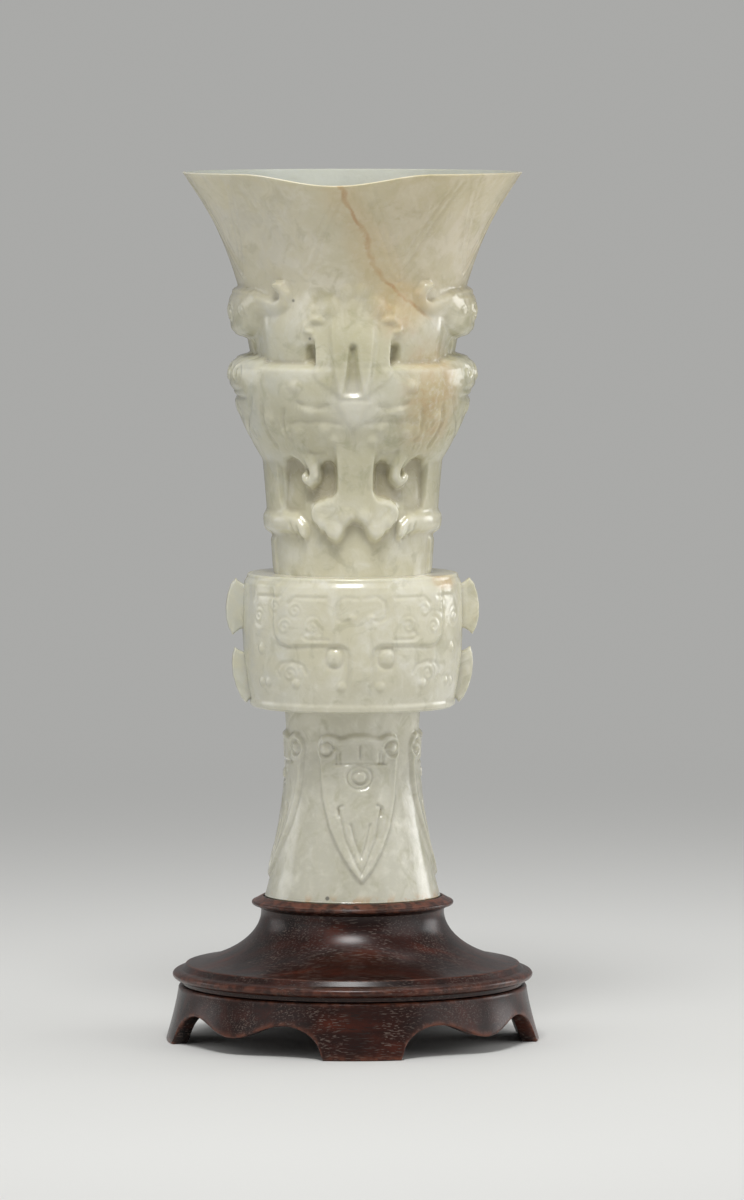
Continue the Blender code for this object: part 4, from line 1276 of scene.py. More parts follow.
def make_trumpet(sizes, carving):
    """Neck, belly and mouth: the trumpet plus its carved relief outside, the plain bore inside.

    The outer radius is the flare at a height plus the relief at the angle and height. The front of
    the lip dips by a raised cosine of the angle.
    """
    at = heights(sizes)
    angles = round_angles(TRUMPET_COLUMNS)
    plug = at.bore - sizes.trumpet_plug
    carved = (at.belly_bottom + rise for rise in CARVED_RISES)
    stops = (at.knop_top - sizes.trumpet_sunk, *carved, at.rim - sizes.lip / 2)
    bands = [
        np.linspace(low, high, rows, endpoint=False)
        for low, high, rows in zip(stops, stops[1:], TRUMPET_ROWS)
    ]
    level = np.concatenate(([plug, plug + PLUG_STEP], *bands, stops[-1:]))
    outer_z = np.broadcast_to(level[:, None], (len(level), TRUMPET_COLUMNS))
    field = belly_field(sizes, carving, angles[None, :], outer_z)
    relief = mask_masses(sizes, carving, field) + mask_details(carving, field)
    relief = soften(np.where(outer_z < at.knop_top, 0.0, relief), 1)
    fine = mouth_relief(sizes, carving, angles[None, :], outer_z)
    outer_r = trumpet_radius(sizes, np.maximum(outer_z, at.knop_top)) + relief + fine

    bore = trumpet_bore(sizes)
    wide = np.ones((1, TRUMPET_COLUMNS))
    radius = np.vstack((SHUT_RADIUS * wide, outer_r, bore[:, :1] * wide))
    height = np.vstack((plug * wide, outer_z, bore[:, 1:] * wide))
    away = np.degrees(np.abs((angles - math.radians(LIP_DIP_TURN) + math.pi) % math.tau - math.pi))
    dip = 0.5 + 0.5 * np.cos(np.clip(away / LIP_DIP_HALF_WIDTH, 0.0, 1.0) * math.pi)
    height = height - sizes.lip_dip * dip * smooth_step(at.rim - LIP_DIP_REACH, at.rim, height)
    piece = closed_sheet("vase_trumpet", round_points(radius, height, TRUMPET_COLUMNS))

    # How far each point lies below its near and far surroundings, for the painted shade in the hollows, more
    # in the niches and less on the mouth, and the painted highlight on the ridges
    near = soften(relief, NEAR_PASSES)
    far = soften(near, FAR_PASSES)
    painted_shading = (NEAR_WEIGHT * (near - relief) + FAR_WEIGHT * (far - relief)) / TRUMPET_SUNK
    painted_shading = painted_shading * (1.0 - MOUTH_SHADE_LESS * smooth_step(*MOUTH_SHADE_SPAN, outer_z - at.belly_top))
    hollows = np.zeros_like(radius)
    hollows[1 : len(level) + 1] = painted_shading + NICHE_SHADE * arch_share(field)
    store(piece, "hollow", hollows)
    # The bore's rows are marked for the painted light on its inner wall
    inside = np.zeros_like(radius)
    lip_middle_row = len(level) + 3
    inside[lip_middle_row:] = 1.0
    store(piece, "inside", inside)
    jade_piece(piece)


def make_knop(sizes, carving):
    """Knop: a ring whose barrel carries a low relief, with a sloping shoulder and rounded edges."""
    at = heights(sizes)
    edge = sizes.knop_round
    low = edge / 2
    core = sizes.knop_core
    lean = sizes.knop_lean / sizes.knop_shoulder
    low_edge = float(knop_radius(sizes, at.knop_bottom + low))
    top_edge = float(knop_radius(sizes, at.knop_top - edge)) - lean * (sizes.knop_shoulder - edge)
    reach = edge * KNOP_TOP_REACH
    turn = np.linspace(0.0, math.pi / 2, 6, endpoint=False)[1:]
    underside = line_rows((core, at.knop_bottom), (low_edge - low, at.knop_bottom), 8)
    low_round = arc_rows((low_edge - low, at.knop_bottom + low), (low, low), turn - math.pi / 2)
    top_round = arc_rows((top_edge - reach, at.knop_top - edge), (reach, edge), turn)
    top = line_rows((top_edge - reach, at.knop_top), (core, at.knop_top), 12)
    before = np.vstack((underside, low_round))
    after = np.vstack((top_round, top, [[core, at.knop_top]]))

    level = np.linspace(at.knop_bottom + low, at.knop_top - edge, KNOP_ROWS)
    height = np.broadcast_to(level[:, None], (KNOP_ROWS, KNOP_COLUMNS))
    relief = soften(knop_relief(sizes, carving, round_angles(KNOP_COLUMNS)[None, :], height), 2)
    shoulder = lean * np.maximum(height - at.knop_top + sizes.knop_shoulder, 0.0)
    plain = knop_radius(sizes, height) - shoulder
    carved_piece("vase_knop", ring_sheet, (before, after), plain, height, relief, KNOP_SUNK)


def lobe_points(outline, thickness):
    """Slab in the plane of the axis: its outline drawn in about a middle, rounded over from face to face."""
    corners = np.asarray(outline)
    share = np.arange(FLANGE_COLUMNS) * len(corners) / FLANGE_COLUMNS
    near = np.floor(share).astype(int)
    part = (share - near)[:, None]
    loop = corners[near] * (1.0 - part) + corners[(near + 1) % len(corners)] * part
    middle = corners.mean(0)
    turn = np.linspace(0.0, math.pi, 13)
    face_inset = np.array((0.9, 0.5, 0.2))
    face_swell = np.array((1.0, 1.0, 0.98))
    inset = np.concatenate((face_inset, FLANGE_ROUND * (1.0 - np.sin(turn)), face_inset[::-1]))
    side = np.concatenate((np.ones(3), np.cos(turn), -np.ones(3)))
    edge_swell = np.full(len(turn), 0.96)
    swell = np.concatenate((face_swell, edge_swell, face_swell[::-1]))
    flat = middle + (loop[None] - middle) * (1.0 - inset)[:, None, None]
    depth = np.broadcast_to((side * swell * thickness / 2)[:, None], flat.shape[:2])
    return np.stack((flat[..., 0], -depth, flat[..., 1]), -1)


def make_flanges(sizes):
    """Two cusped lobes at each side of the knop, each a rounded slab that runs into the barrel."""
    at = heights(sizes)
    for level, outline in (("upper", UPPER_LOBE), ("lower", LOWER_LOBE)):
        for side, hand in (("right", 1.0), ("left", -1.0)):
            points = lobe_points(outline, sizes.flange_thickness)
            points = points * np.array((hand, hand, 1.0)) + np.array((0.0, 0.0, at.knop_bottom))
            piece = closed_sheet(f"flange_{level}_{side}", points)
            store(piece, "hollow", np.zeros(1))
            jade_piece(piece)


def make_foot(sizes, carving):
    """Foot: the flare plus the leaf relief outside, a domed hollow beneath, and a plug up into the knop."""
    at = heights(sizes)
    rim = sizes.foot_base - sizes.foot_wall
    bevel = sizes.foot_bevel
    flat_edge = sizes.foot_base - bevel
    hollow = arc_rows((0.0, at.base), (rim, sizes.foot_hollow), np.linspace(math.pi / 2, 0.0, 12)[1:])
    ring = line_rows((rim, at.base), (flat_edge, at.base), 5)[1:]
    turn = np.linspace(-math.pi / 2, -math.pi / 12, 4)
    edge = arc_rows((flat_edge, at.base + bevel), (bevel, bevel), turn)
    before = np.vstack((hollow, ring, edge))
    plug = at.knop_bottom + sizes.foot_plug
    after = np.array(((sizes.foot_top, plug), (SHUT_RADIUS, plug)))

    level = np.linspace(at.base + bevel, at.knop_bottom + sizes.foot_sunk, FOOT_ROWS)
    height = np.broadcast_to(level[:, None], (FOOT_ROWS, FOOT_COLUMNS))
    relief = soften(leaf_relief(sizes, carving, round_angles(FOOT_COLUMNS)[None, :], height), 1)
    plain = foot_radius(sizes, height)
    carved_piece("vase_foot", closed_sheet, (before, after), plain, height, relief, FOOT_SUNK)


def half_round(radius, low, high, reach, count):
    """Profile of a bead: a half ellipse that swells outwards, from the top down."""
    turn = np.linspace(math.pi / 2, -math.pi / 2, count)
    return arc_rows((radius, (low + high) / 2), (reach, (high - low) / 2), turn)


def cove(inner, outer, low, high, stand, count):
    """Profile of a hollow curve from its upright top to its foot: a superellipse on an even slope."""
    turn = np.linspace(0.0, math.pi / 2, count)
    run = 1.0 - np.cos(turn) ** (2.0 / stand.cove_power)
    fall = 1.0 - np.sin(turn) ** (2.0 / stand.cove_power)
    level = low + stand.cove_slope * (1.0 - run) + (high - low - stand.cove_slope) * fall
    return np.stack((inner + (outer - inner) * run, level), -1)


def bend(profile):
    """How sharply a profile turns outwards at each of its points, from 0 to 1."""
    step = np.diff(profile, axis=0)
    heading = np.unwrap(np.arctan2(step[:, 1], step[:, 0]))
    size = np.hypot(step[:, 0], step[:, 1])
    curve = np.zeros(len(profile))
    curve[1:-1] = -np.diff(heading) / np.maximum((size[1:] + size[:-1]) / 2, 1e-5)
    return np.clip(curve * RUBBED_RADIUS, 0.0, 1.0)


def make_stand_top(sizes, stand):
    """Turned top of the stand: seat, collar, cove, fillet, torus, recessed waist and the hollow beneath."""
    seat_z = VASE_BASE - SEAT_GAP
    joint = stand.apron_height + SEAT_GAP
    waist_top = joint + stand.waist_height
    torus_top = waist_top + stand.torus_height
    fillet_top = torus_top + stand.fillet_height
    cove_top = fillet_top + stand.cove_height
    collar_top = cove_top + stand.collar_height
    edge_top = collar_top - stand.collar_slope
    edge_foot = edge_top - stand.collar_edge
    spigot_foot = joint - stand.spigot_height
    ceiling = seat_z - stand.seat_floor
    seat = sizes.foot_base + SEAT_GAP
    neck = seat + stand.neck_wall
    corner = stand.collar_round
    rim = seat + stand.collar_wall - corner
    fillet = stand.apron_radius - stand.fillet_inset
    root = fillet + stand.fillet_slope
    torus = stand.apron_radius + stand.torus_reach
    waist = stand.apron_radius - stand.waist_inset
    spigot = stand.apron_radius - stand.apron_wall - SEAT_GAP
    hollow = spigot - stand.spigot_wall
    inner_neck = neck - (fillet - hollow)
    profile = np.vstack(
        (
            line_rows((SHUT_RADIUS, seat_z), (seat, seat_z), 8),
            line_rows((seat, seat_z), (seat, collar_top - 2 * HAIR), 4),
            line_rows((seat + 2 * HAIR, collar_top), (seat + 6 * HAIR, collar_top), 3),
            line_rows((seat + 6 * HAIR, collar_top - HAIR / 2), (rim, edge_top), 8),
            half_round(rim, edge_foot, edge_top, corner, 12),
            line_rows((rim - 3 * HAIR, edge_foot), (neck + 2 * HAIR, cove_top + 7 * HAIR), 6),
            line_rows((neck, cove_top + 6 * HAIR), (neck, cove_top + HAIR), 3),
            cove(neck, fillet, fillet_top, cove_top, stand, 40),
            line_rows((fillet + HAIR, fillet_top - HAIR), (root, torus_top), 8),
            half_round(root, waist_top, torus_top, torus - root, 18),
            line_rows((waist + 6 * HAIR, waist_top), (waist, waist_top - HAIR), 3),
            line_rows((waist, waist_top - HAIR), (waist, joint), 4),
            line_rows((waist, joint), (spigot, joint), 4),
            line_rows((spigot, joint), (spigot, spigot_foot), 4),
            line_rows((spigot, spigot_foot), (hollow, spigot_foot), 4),
            cove(inner_neck, hollow, joint, ceiling, stand, 14)[::-1],
            line_rows((inner_neck, ceiling), (SHUT_RADIUS, ceiling), 5),
            [[SHUT_RADIUS, ceiling]],
        )
    )
    wide = np.ones((1, STAND_COLUMNS))
    points = round_points(profile[::-1, :1] * wide, profile[::-1, 1:] * wide, STAND_COLUMNS)
    piece = closed_sheet("stand_turned_top", points)
    on_collar = (profile[:, 1] > edge_top - HAIR) & (profile[:, 0] > seat)
    rubbed = np.maximum(BEND_RUBBED * bend(profile), COLLAR_RUBBED * on_collar)
    store(piece, "rubbed", rubbed[::-1, None] * wide)
    wood_piece(piece, "stand_top")


def apron_edge(stand, angles):
    """Height of the apron's lower edge: flat feet, quarter ellipses up the arches, cosines to pendants."""
    half_sector = math.pi / 4
    share = folded(angles, 0.0, 4) / half_sector
    foot_share = math.asin(stand.foot_width / 2 / (stand.apron_radius + stand.foot_flare)) / half_sector
    back = np.clip((stand.arch_peak - share) / (stand.arch_peak - foot_share), 0.0, 1.0)
    climb = stand.arch_rise * np.sqrt(1.0 - back * back)
    along = np.clip((share - stand.arch_peak) / (1.0 - stand.arch_peak), 0.0, 1.0)
    fall = stand.pendant_rise + (stand.arch_rise - stand.pendant_rise) * (1.0 + np.cos(math.pi * along)) / 2
    return np.where(share <= stand.arch_peak, climb, fall)


def make_apron_ring(stand):
    """Apron ring: a wall section with rounded corners, whose lower edge follows feet, arches and pendants.

    The radius grows towards the floor by a power of the share of the height.
    """
    edge = apron_edge(stand, round_angles(APRON_COLUMNS))[None, :]
    corner = stand.apron_round
    wall = stand.apron_wall
    turn = np.linspace(0.0, math.pi / 2, 5)
    outer = np.linspace(1.0, 0.0, APRON_OUTER_ROWS)
    inner = np.linspace(0.0, 1.0, APRON_INNER_ROWS)
    inset = np.concatenate(
        (
            [wall * 0.66, wall * 0.33, corner, corner * 0.3],
            np.zeros(APRON_OUTER_ROWS),
            corner * (1.0 - np.cos(turn[1:])),
            [wall * 0.33, wall * 0.66],
            wall - corner * (1.0 - np.sin(turn[:-1])),
            np.full(APRON_INNER_ROWS, wall),
        )
    )[:, None]
    climb = np.concatenate((np.ones(4), outer, np.zeros(2 * len(turn)), inner))[:, None]
    lift = np.concatenate(
        (
            [0.0, 0.0, 0.0, -corner * 0.3],
            corner * (1.0 - 2.0 * outer),
            corner * (1.0 - np.sin(turn[1:])),
            [0.0, 0.0],
            corner * (1.0 - np.cos(turn[:-1])),
            corner * (1.0 - inner),
        )
    )[:, None]
    height = edge + (stand.apron_height - edge) * climb + lift
    share = np.clip(1.0 - height / stand.apron_height, 0.0, 1.0)
    radius = stand.apron_radius + stand.foot_flare * share**stand.flare_power - inset
    points = round_points(radius, height, APRON_COLUMNS)
    piece = ring_sheet("stand_apron", points[::-1])
    low_rubbed = bell(height, edge, LOW_RUBBED) * smooth_step(LOW_RUBBED_INSET, 0.0, inset)
    top_rubbed = bell(height, stand.apron_height, TOP_RUBBED) * smooth_step(TOP_RUBBED_INSET, 0.0, inset)
    store(piece, "rubbed", np.clip(low_rubbed + top_rubbed, 0.0, 1.0)[::-1])
    wood_piece(piece, "apron_ring")


class Value:
    """A shader socket. Python operators on it add the matching Math nodes."""

    def __init__(self, finish, socket):
        self.finish = finish
        self.socket = socket

    def math(self, operation, *others):
        """Math node of an operation on this value and others."""
        inputs = dict(enumerate((self, *others)))
        return self.finish.node("ShaderNodeMath", {"operation": operation}, inputs)

    def __add__(self, other):
        return self.math("ADD", other)

    __radd__ = __add__

    def __mul__(self, other):
        return self.math("MULTIPLY", other)

    __rmul__ = __mul__

    def __sub__(self, other):
        return self.math("SUBTRACT", other)

    def __rsub__(self, other):
        return self.finish.node("ShaderNodeMath", {"operation": "SUBTRACT"}, {0: other, 1: self})

    def __abs__(self):
        return self.math("ABSOLUTE")

    def capped(self):
        """This value, at most 1."""
        return self.math("MINIMUM", 1.0)

    def between(self, low, high):
        """Eased share from 0 at low to 1 at high."""
        settings = {"interpolation_type": "SMOOTHSTEP"}
        return self.finish.node("ShaderNodeMapRange", settings, {"Value": self, 1: low, 2: high})

    def layer(self, low, high, weight):
        """Eased share from low to high, times a weight."""
        return self.between(low, high) * weight


class Finish:
    """A node material under construction."""

    def __init__(self, name):
        self.material = bpy.data.materials.new(name)
        self.material.use_nodes = True
        self.tree = self.material.node_tree
        self.shader = self.tree.nodes["Principled BSDF"]
        self.place = self.node("ShaderNodeTexCoord", output=3)

    def node(self, kind, settings=None, inputs=None, output=0):
        """Any node: its settings first, then values or links for its sockets. Gives one of its outputs."""
        made = self.tree.nodes.new(kind)
        for key, value in (settings or {}).items():
            setattr(made, key, value)
        for key, value in (inputs or {}).items():
            self.feed(made.inputs[key], value)
        return Value(self, made.outputs[output])

    def feed(self, socket, value):
        """Links a value to a socket, or sets a plain number or colour on it."""
        if isinstance(value, Value):
            self.tree.links.new(value.socket, socket)
        elif socket.type == "RGBA" and len(value) == 3:
            socket.default_value = (*value, 1.0)
        else:
            socket.default_value = value

    def mix(self, share, first, second):
        """Colour between two colours."""
        settings = {"data_type": "RGBA"}
        return self.node("ShaderNodeMix", settings, {0: share, 6: first, 7: second}, 2)

    def noise(self, scale, detail=3.0, rough=0.5, twist=0.0, place=None):
        """Cloudy value about a half, on the object's own coordinates unless others are given."""
        inputs = {"Vector": place or self.place, "Scale": scale, "Detail": detail}
        inputs.update({"Roughness": rough, "Distortion": twist})
        return self.node("ShaderNodeTexNoise", None, inputs)

    def grain(self, stretch, noise):
        """Noise drawn out along the turned grain of the wood."""
        inputs = {"Vector": self.place, "Rotation": WOOD_TURN, "Scale": (stretch, 1.0, 1.0)}
        return self.noise(*noise, place=self.node("ShaderNodeMapping", None, inputs))

    def vector(self, operation, first, second=None, output=0):
        """Vector Math node."""
        inputs = {0: first} if second is None else {0: first, 1: second}
        return self.node("ShaderNodeVectorMath", {"operation": operation}, inputs, output)

    def stain(self, middle, radii, core):
        """Share that is 1 inside a core share of an ellipsoid and eases to 0 at its surface."""
        shares = self.vector("DIVIDE", self.vector("SUBTRACT", self.place, middle), radii)
        return 1.0 - self.vector("LENGTH", shares, output=1).between(core, 1.0)

    def stored(self, name):
        """Number kept for each point of a piece."""
        return self.node("ShaderNodeAttribute", {"attribute_name": name}, output=2)

    def bump(self, strength, distance, height):
        """Surface direction tilted by a height."""
        inputs = {"Strength": strength, "Distance": distance, "Height": height}
        return self.node("ShaderNodeBump", None, inputs)

    def set(self, **values):
        """Sets or links sockets of the main shader by name, with _ for a space."""
        for key, value in values.items():
            self.feed(self.shader.inputs[key.replace("_", " ")], value)


def make_jade(colours):
    """Polished jade: clouds of green and white, paler lower down, honey stain, a russet vein and specks, with
    painted shade in the recesses, a painted highlight on the ridges, and painted light on the mouth, some on
    the knop's band and on the bore.
    """
    jade = Finish("polished_jade")
    zones = JADE_ZONES
    layers = JADE_LAYERS
    weights = JADE_WEIGHTS
    parts = jade.node("ShaderNodeSeparateXYZ", None, {0: jade.place}).socket.node.outputs
    x, y, z = (Value(jade, socket) for socket in parts)
    clouds = jade.noise(*JADE_NOISES.clouds)
    wisps = jade.noise(*JADE_NOISES.wisps)
    cotton = jade.noise(*JADE_NOISES.cotton)
    depths = jade.noise(*JADE_NOISES.depths)
    grains = jade.noise(*JADE_NOISES.grains)
    wander = jade.noise(*JADE_NOISES.wander) - 0.5

    neck = z.between(*zones.neck_in) * (1.0 - z.between(*zones.neck_out))
    belly = z.between(*zones.belly_in) * (1.0 - z.between(*zones.belly_out))
    white = clouds.layer(*layers.white_clouds) + wisps.layer(*layers.white_wisps)
    white = white + cotton.layer(*layers.white_cotton)
    white = white + z.between(*zones.mouth_clouds_in) * wisps.layer(*layers.white_mouth)
    # Painted light: the mouth is lightened where it faces down, and the knop's band is whiter, partly paler
    # stone and partly painted light
    white = white + z.between(*zones.mouth_painted_light_in) * weights.mouth_painted_light + neck * weights.neck_white_and_light
    green = (1.0 - clouds).layer(*layers.green_clouds) * z.between(*zones.green_in)
    green = green + depths.layer(*layers.green_depths) + belly * weights.belly_green
    pale = 1.0 - z.between(*zones.pale_out)
    cool = (0.0 - x).between(*COOL_LEFT) * (weights.cool + wisps.layer(*layers.cool_wisps))
    nose = jade.stain(*JADE_STAINS.nose) * (weights.nose + wisps * weights.nose_wisps)
    colour = jade.mix(pale * weights.pale, colours.jade_body, colours.jade_pale)
    colour = jade.mix(white.capped(), colour, colours.jade_white)
    colour = jade.mix(green.capped(), colour, colours.jade_green)
    colour = jade.mix(cool, colour, colours.jade_cool)
    colour = jade.mix(nose, colour, colours.jade_white)

    vein_middle = (VEIN_START - z) * VEIN_SLOPES[0] + (VEIN_BEND - z).math("MAXIMUM", 0.0) * VEIN_SLOPES[1]
    vein_line = abs(x - vein_middle + wander * VEIN_WANDER)
    vein_shown = z.between(*zones.vein_in) * (1.0 - z.between(*zones.vein_out) * weights.vein_fade)
    vein_shown = (0.0 - y).between(*VEIN_FRONT) * vein_shown
    vein = (1.0 - vein_line.between(*VEIN_WIDTH)) * vein_shown
    vein = vein * (weights.vein + wisps.layer(*layers.vein_wisps))
    halo = (1.0 - vein_line.between(*VEIN_HALO)) * vein_shown
    patch = jade.stain(*JADE_STAINS.patch)
    patch_top = jade.stain(*JADE_STAINS.patch_top)
    spot = jade.stain(*JADE_STAINS.spot)
    warm = z.between(*zones.mouth_warm_in) * (weights.warm + x.between(*WARM_RIGHT) * weights.warm_right)
    honey = patch * weights.patch_honey + patch_top * weights.patch_top_honey
    honey = honey + halo * weights.halo_honey + spot * weights.spot_honey + warm
    honey = honey.capped() * (weights.honey + wisps * weights.honey_wisps)
    crumbs = cotton.layer(*layers.crumbs_cotton) + grains.layer(*layers.crumbs_grains)
    russet = patch * weights.patch_russet + patch_top * weights.patch_top_russet + spot * weights.spot_russet
    russet = vein * weights.vein_russet + russet * crumbs
    flecks = (1.0 - grains).between(*layers.flecks) * (patch * weights.patch_flecks + weights.flecks)
    colour = jade.mix(honey, colour, colours.jade_honey)
    colour = jade.mix(russet.capped() * weights.russet, colour, colours.jade_russet)
    colour = jade.mix(flecks, colour, colours.jade_white)

    cells = jade.node("ShaderNodeTexVoronoi", None, {"Vector": jade.place, "Scale": SPECK_CELLS})
    rare = jade.noise(*JADE_NOISES.rare).layer(*layers.rare)
    dirt = (1.0 - z.between(*zones.dirt_out)) * cotton.layer(*layers.dirt)
    colour = jade.mix((1.0 - cells.between(*layers.speck)) * rare, colour, colours.jade_speck)
    colour = jade.mix(dirt, colour, colours.jade_russet)

    # Painted shade: the recesses are darkened from the stored hollow
    hollow = jade.stored("hollow")
    painted_shading = hollow.layer(*layers.painted_shading)
    colour = jade.mix(painted_shading, colour, colours.jade_painted_shade)
    # Painted highlight: a whitening along the ridges
    colour = jade.mix((0.0 - hollow).layer(*layers.ridge), colour, colours.jade_white)
    # Painted light: the bore's inner wall is tinted cool white
    colour = jade.mix(jade.stored("inside") * weights.inside, colour, colours.jade_bore_light)
    jade.set(
        Base_Color=colour,
        Roughness=0.09 + cotton * 0.16 + painted_shading * 0.25,
        Normal=jade.bump(0.30, 0.0006, grains * 0.25 + cotton * 0.75),
        IOR=1.6,
        Subsurface_Weight=0.30,
        Subsurface_Radius=(1.0, 0.95, 0.65),
        Subsurface_Scale=0.0018,
    )


def make_hardwood(colours):
    """Dark red-brown hardwood: long streaks, redder patches, fine pores and rubbed edges under a wax."""
    wood = Finish("waxed_hardwood")
    layers = WOOD_LAYERS
    weights = WOOD_WEIGHTS
    streaks = wood.grain(*WOOD_NOISES.streaks)
    bands = wood.grain(*WOOD_NOISES.bands)
    pore = wood.grain(*WOOD_NOISES.pores).between(*layers.pore)
    blush = wood.grain(*WOOD_NOISES.blush)
    dust = pore * wood.noise(*WOOD_NOISES.dust).layer(*layers.dust)
    wear = wood.stored("rubbed") * (weights.wear + wood.noise(*WOOD_NOISES.wear).layer(*layers.wear))
    pore_colour = tuple(weights.pore_dark * part for part in colours.wood_dark)

    body = streaks.layer(*layers.streaks) + bands.layer(*layers.bands)
    blush = blush.between(*layers.blush) * (weights.blush + streaks * weights.blush_streaks)
    colour = wood.mix(body.capped(), colours.wood_dark, colours.wood_red)
    colour = wood.mix(blush, colour, colours.wood_blush)
    colour = wood.mix(pore * weights.pore, colour, pore_colour)
    colour = wood.mix(dust, colour, colours.wood_pore)
    colour = wood.mix(wear * weights.worn, colour, colours.wood_worn)
    wood.set(
        Base_Color=colour,
        Roughness=0.29 + streaks * 0.14 + pore * 0.15,
        Normal=wood.bump(0.25, 0.0003, streaks * 0.5 - pore * 0.4),
        Specular_IOR_Level=0.05,
        Coat_Weight=0.60,
        Coat_Roughness=0.27,
    )


def make_floor_finish(colours):
    """Plain pale floor. Far from the object the camera sees it as one even tone, as it sees the world."""
    floor = Finish("floor")
    dim = tuple(0.97 * part for part in colours.floor)
    floor.set(Base_Color=floor.mix(floor.noise(3.0, 2.0), colours.floor, dim), Roughness=0.7)
    away = floor.vector("LENGTH", floor.place, output=1)
    far = floor.node("ShaderNodeLightPath") * away.between(*FLOOR_FAR)
    plain = floor.node("ShaderNodeEmission", None, {"Color": colours.distance})
    near = Value(floor, floor.shader.outputs[0])
    surface = floor.node("ShaderNodeMixShader", None, {0: far, 1: near, 2: plain})
    floor.feed(floor.tree.nodes["Material Output"].inputs["Surface"], surface)


def look_at(holder, place, aim):
    """Puts a lamp or camera at a place, turned towards a point."""
    holder.location = place
    holder.rotation_euler = (Vector(aim) - Vector(place)).to_track_quat("-Z", "Y").to_euler()
    bpy.context.scene.collection.objects.link(holder)


def make_lamps(studio):
    """Square soft lamps."""
    for name, (setting, share, size, place) in LAMPS.items():
        lamp = bpy.data.lights.new(name, "AREA")
        lamp.energy = getattr(studio, setting) * share
        lamp.size = size
        look_at(bpy.data.objects.new(name, lamp), place, LAMP_AIM)


def make_floor():
    """Flat floor: a square sheet of evenly spaced points, wide enough to reach the horizon on all sides."""
    step = np.linspace(-FLOOR_HALF_WIDTH, FLOOR_HALF_WIDTH, FLOOR_POINTS)
    x, y = np.meshgrid(step, step)
    row = np.arange(FLOOR_POINTS - 1)[:, None] * FLOOR_POINTS
    near = row + np.arange(FLOOR_POINTS - 1)[None, :]
    corners = np.stack((near, near + 1, near + FLOOR_POINTS + 1, near + FLOOR_POINTS), -1)
    points = np.stack((x, y, np.zeros_like(x)), -1)
    floor = put_mesh("floor", points.reshape(-1, 3), corners.reshape(-1, 4))
    floor.data.materials.append(bpy.data.materials["floor"])


def make_world(studio, colours):
    """Even white light from all round. The camera sees the far tone instead."""
    world = bpy.data.worlds.new("studio")
    world.use_nodes = True
    nodes = world.node_tree.nodes
    links = world.node_tree.links
    light = nodes["Background"]
    light.inputs["Color"].default_value = (1.0, 1.0, 1.0, 1.0)
    light.inputs["Strength"].default_value = studio.world
    plain = nodes.new("ShaderNodeBackground")
    plain.inputs["Color"].default_value = (*colours.distance, 1.0)
    choice = nodes.new("ShaderNodeMixShader")
    links.new(nodes.new("ShaderNodeLightPath").outputs["Is Camera Ray"], choice.inputs[0])
    links.new(light.outputs[0], choice.inputs[1])
    links.new(plain.outputs[0], choice.inputs[2])
    links.new(choice.outputs[0], nodes["World Output"].inputs["Surface"])
    bpy.context.scene.world = world


def make_camera(studio):
    """Camera at an azimuth from the front, with the lens that gives the frame its height at the vase."""
    lens = bpy.data.cameras.new("camera")
    lens.sensor_fit = "VERTICAL"
    lens.sensor_height = SENSOR_HEIGHT
    turn = math.radians(studio.azimuth)
    right = Vector((math.cos(turn), math.sin(turn), 0.0))
    back = Vector((math.sin(turn), -math.cos(turn), 0.0))
    eye = back * studio.distance + Vector((0.0, 0.0, studio.height))
    aim = right * studio.aim_right + Vector((0.0, 0.0, studio.aim_height))
    lens.lens = lens.sensor_height * (aim - eye).length / studio.frame_height
    camera = bpy.data.objects.new("camera", lens)
    look_at(camera, eye, aim)
    bpy.context.scene.camera = camera


def make_stage(studio, colours):
    """Floor, soft lamps, even world light and the camera."""
    make_floor_finish(colours)
    make_floor()
    make_lamps(studio)
    make_world(studio, colours)
    make_camera(studio)
    bpy.context.scene.view_settings.view_transform = "Standard"


class JADEVASE_OT_finishes(Operator):
    """Make the jade and the hardwood"""

    bl_idname = "jadevase.finishes"
    bl_label = "Finishes"

    def execute(self, context):
        make_jade(context.scene.jadevase_finishes)
        make_hardwood(context.scene.jadevase_finishes)
        return {"FINISHED"}


class JADEVASE_OT_trumpet(Operator):
    """Carve the neck, belly and mouth"""

    bl_idname = "jadevase.trumpet"
    bl_label = "Trumpet"

    def execute(self, context):
        make_trumpet(context.scene.jadevase_sizes, context.scene.jadevase_carving)
        return {"FINISHED"}


class JADEVASE_OT_knop(Operator):
    """Carve the knop"""

    bl_idname = "jadevase.knop"
    bl_label = "Knop"

    def execute(self, context):
        make_knop(context.scene.jadevase_sizes, context.scene.jadevase_carving)
        return {"FINISHED"}


class JADEVASE_OT_flanges(Operator):
    """Shape the flanges at the sides of the knop"""

    bl_idname = "jadevase.flanges"
    bl_label = "Flanges"

    def execute(self, context):
        make_flanges(context.scene.jadevase_sizes)
        return {"FINISHED"}


class JADEVASE_OT_foot(Operator):
    """Carve the foot with its hanging leaves"""

    bl_idname = "jadevase.foot"
    bl_label = "Foot"

    def execute(self, context):
        make_foot(context.scene.jadevase_sizes, context.scene.jadevase_carving)
        return {"FINISHED"}


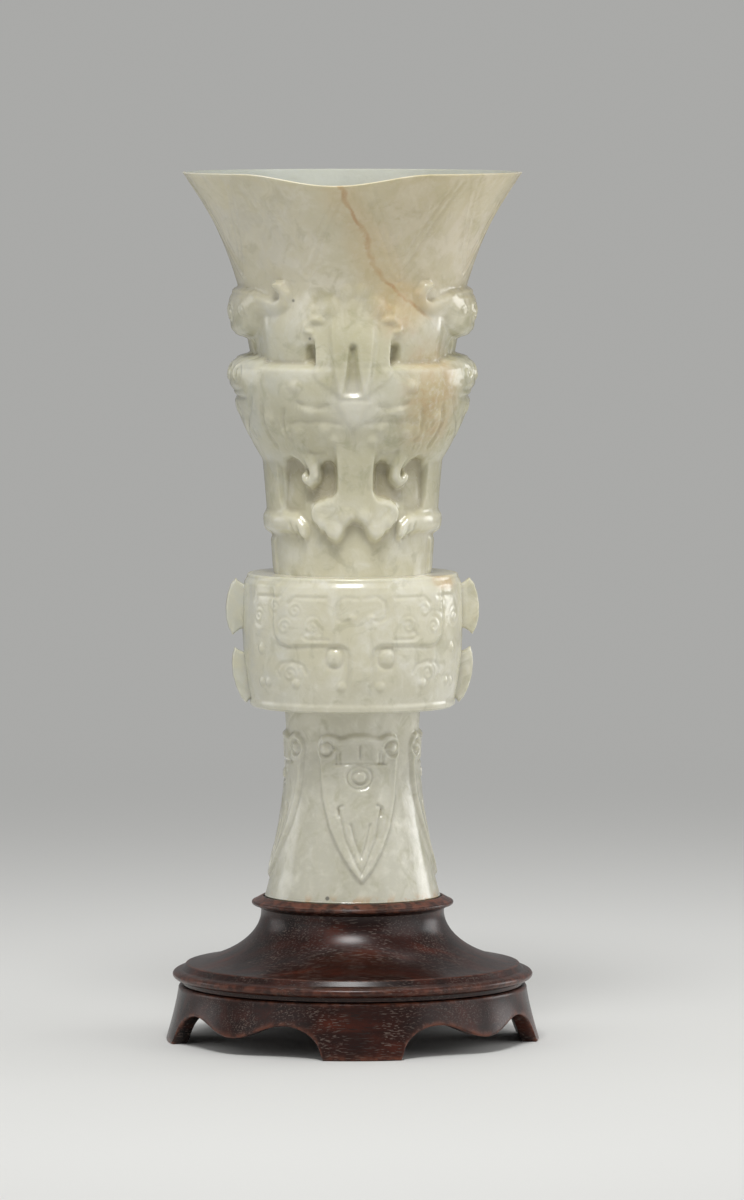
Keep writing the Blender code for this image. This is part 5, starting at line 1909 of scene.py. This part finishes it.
class JADEVASE_OT_stand(Operator):
    """Turn the stand's top and shape its apron"""

    bl_idname = "jadevase.stand"
    bl_label = "Stand"

    def execute(self, context):
        make_stand_top(context.scene.jadevase_sizes, context.scene.jadevase_stand)
        make_apron_ring(context.scene.jadevase_stand)
        return {"FINISHED"}


class JADEVASE_OT_stage(Operator):
    """Set up the floor, the lamps and the camera"""

    bl_idname = "jadevase.stage"
    bl_label = "Stage"

    def execute(self, context):
        make_stage(context.scene.jadevase_studio, context.scene.jadevase_finishes)
        return {"FINISHED"}


class JADEVASE_PT_panel(Panel):
    """Steps that make the vase and its stand"""

    bl_idname = "JADEVASE_PT_panel"
    bl_label = "Jade Vase"
    bl_space_type = "VIEW_3D"
    bl_region_type = "UI"
    bl_category = "Jade Vase"

    def draw(self, context):
        for step in STEPS:
            self.layout.operator(step.bl_idname)


STEPS = (
    JADEVASE_OT_finishes,
    JADEVASE_OT_trumpet,
    JADEVASE_OT_knop,
    JADEVASE_OT_flanges,
    JADEVASE_OT_foot,
    JADEVASE_OT_stand,
    JADEVASE_OT_stage,
)
GROUPS = {
    "jadevase_sizes": VaseSizes,
    "jadevase_carving": CarvingSizes,
    "jadevase_stand": StandSizes,
    "jadevase_finishes": Finishes,
    "jadevase_studio": StudioSettings,
}


def register():
    """Adds the classes and the settings to Blender."""
    for kind in (*GROUPS.values(), *STEPS, JADEVASE_PT_panel):
        bpy.utils.register_class(kind)
    for name, kind in GROUPS.items():
        setattr(bpy.types.Scene, name, PointerProperty(type=kind))


def unregister():
    """Takes the settings and the classes out again."""
    for name in GROUPS:
        delattr(bpy.types.Scene, name)
    for kind in reversed((*GROUPS.values(), *STEPS, JADEVASE_PT_panel)):
        bpy.utils.unregister_class(kind)


def main():
    register()
    bpy.ops.jadevase.finishes()
    bpy.ops.jadevase.trumpet()
    bpy.ops.jadevase.knop()
    bpy.ops.jadevase.flanges()
    bpy.ops.jadevase.foot()
    bpy.ops.jadevase.stand()
    bpy.ops.jadevase.stage()


if __name__ == "__main__":
    main()
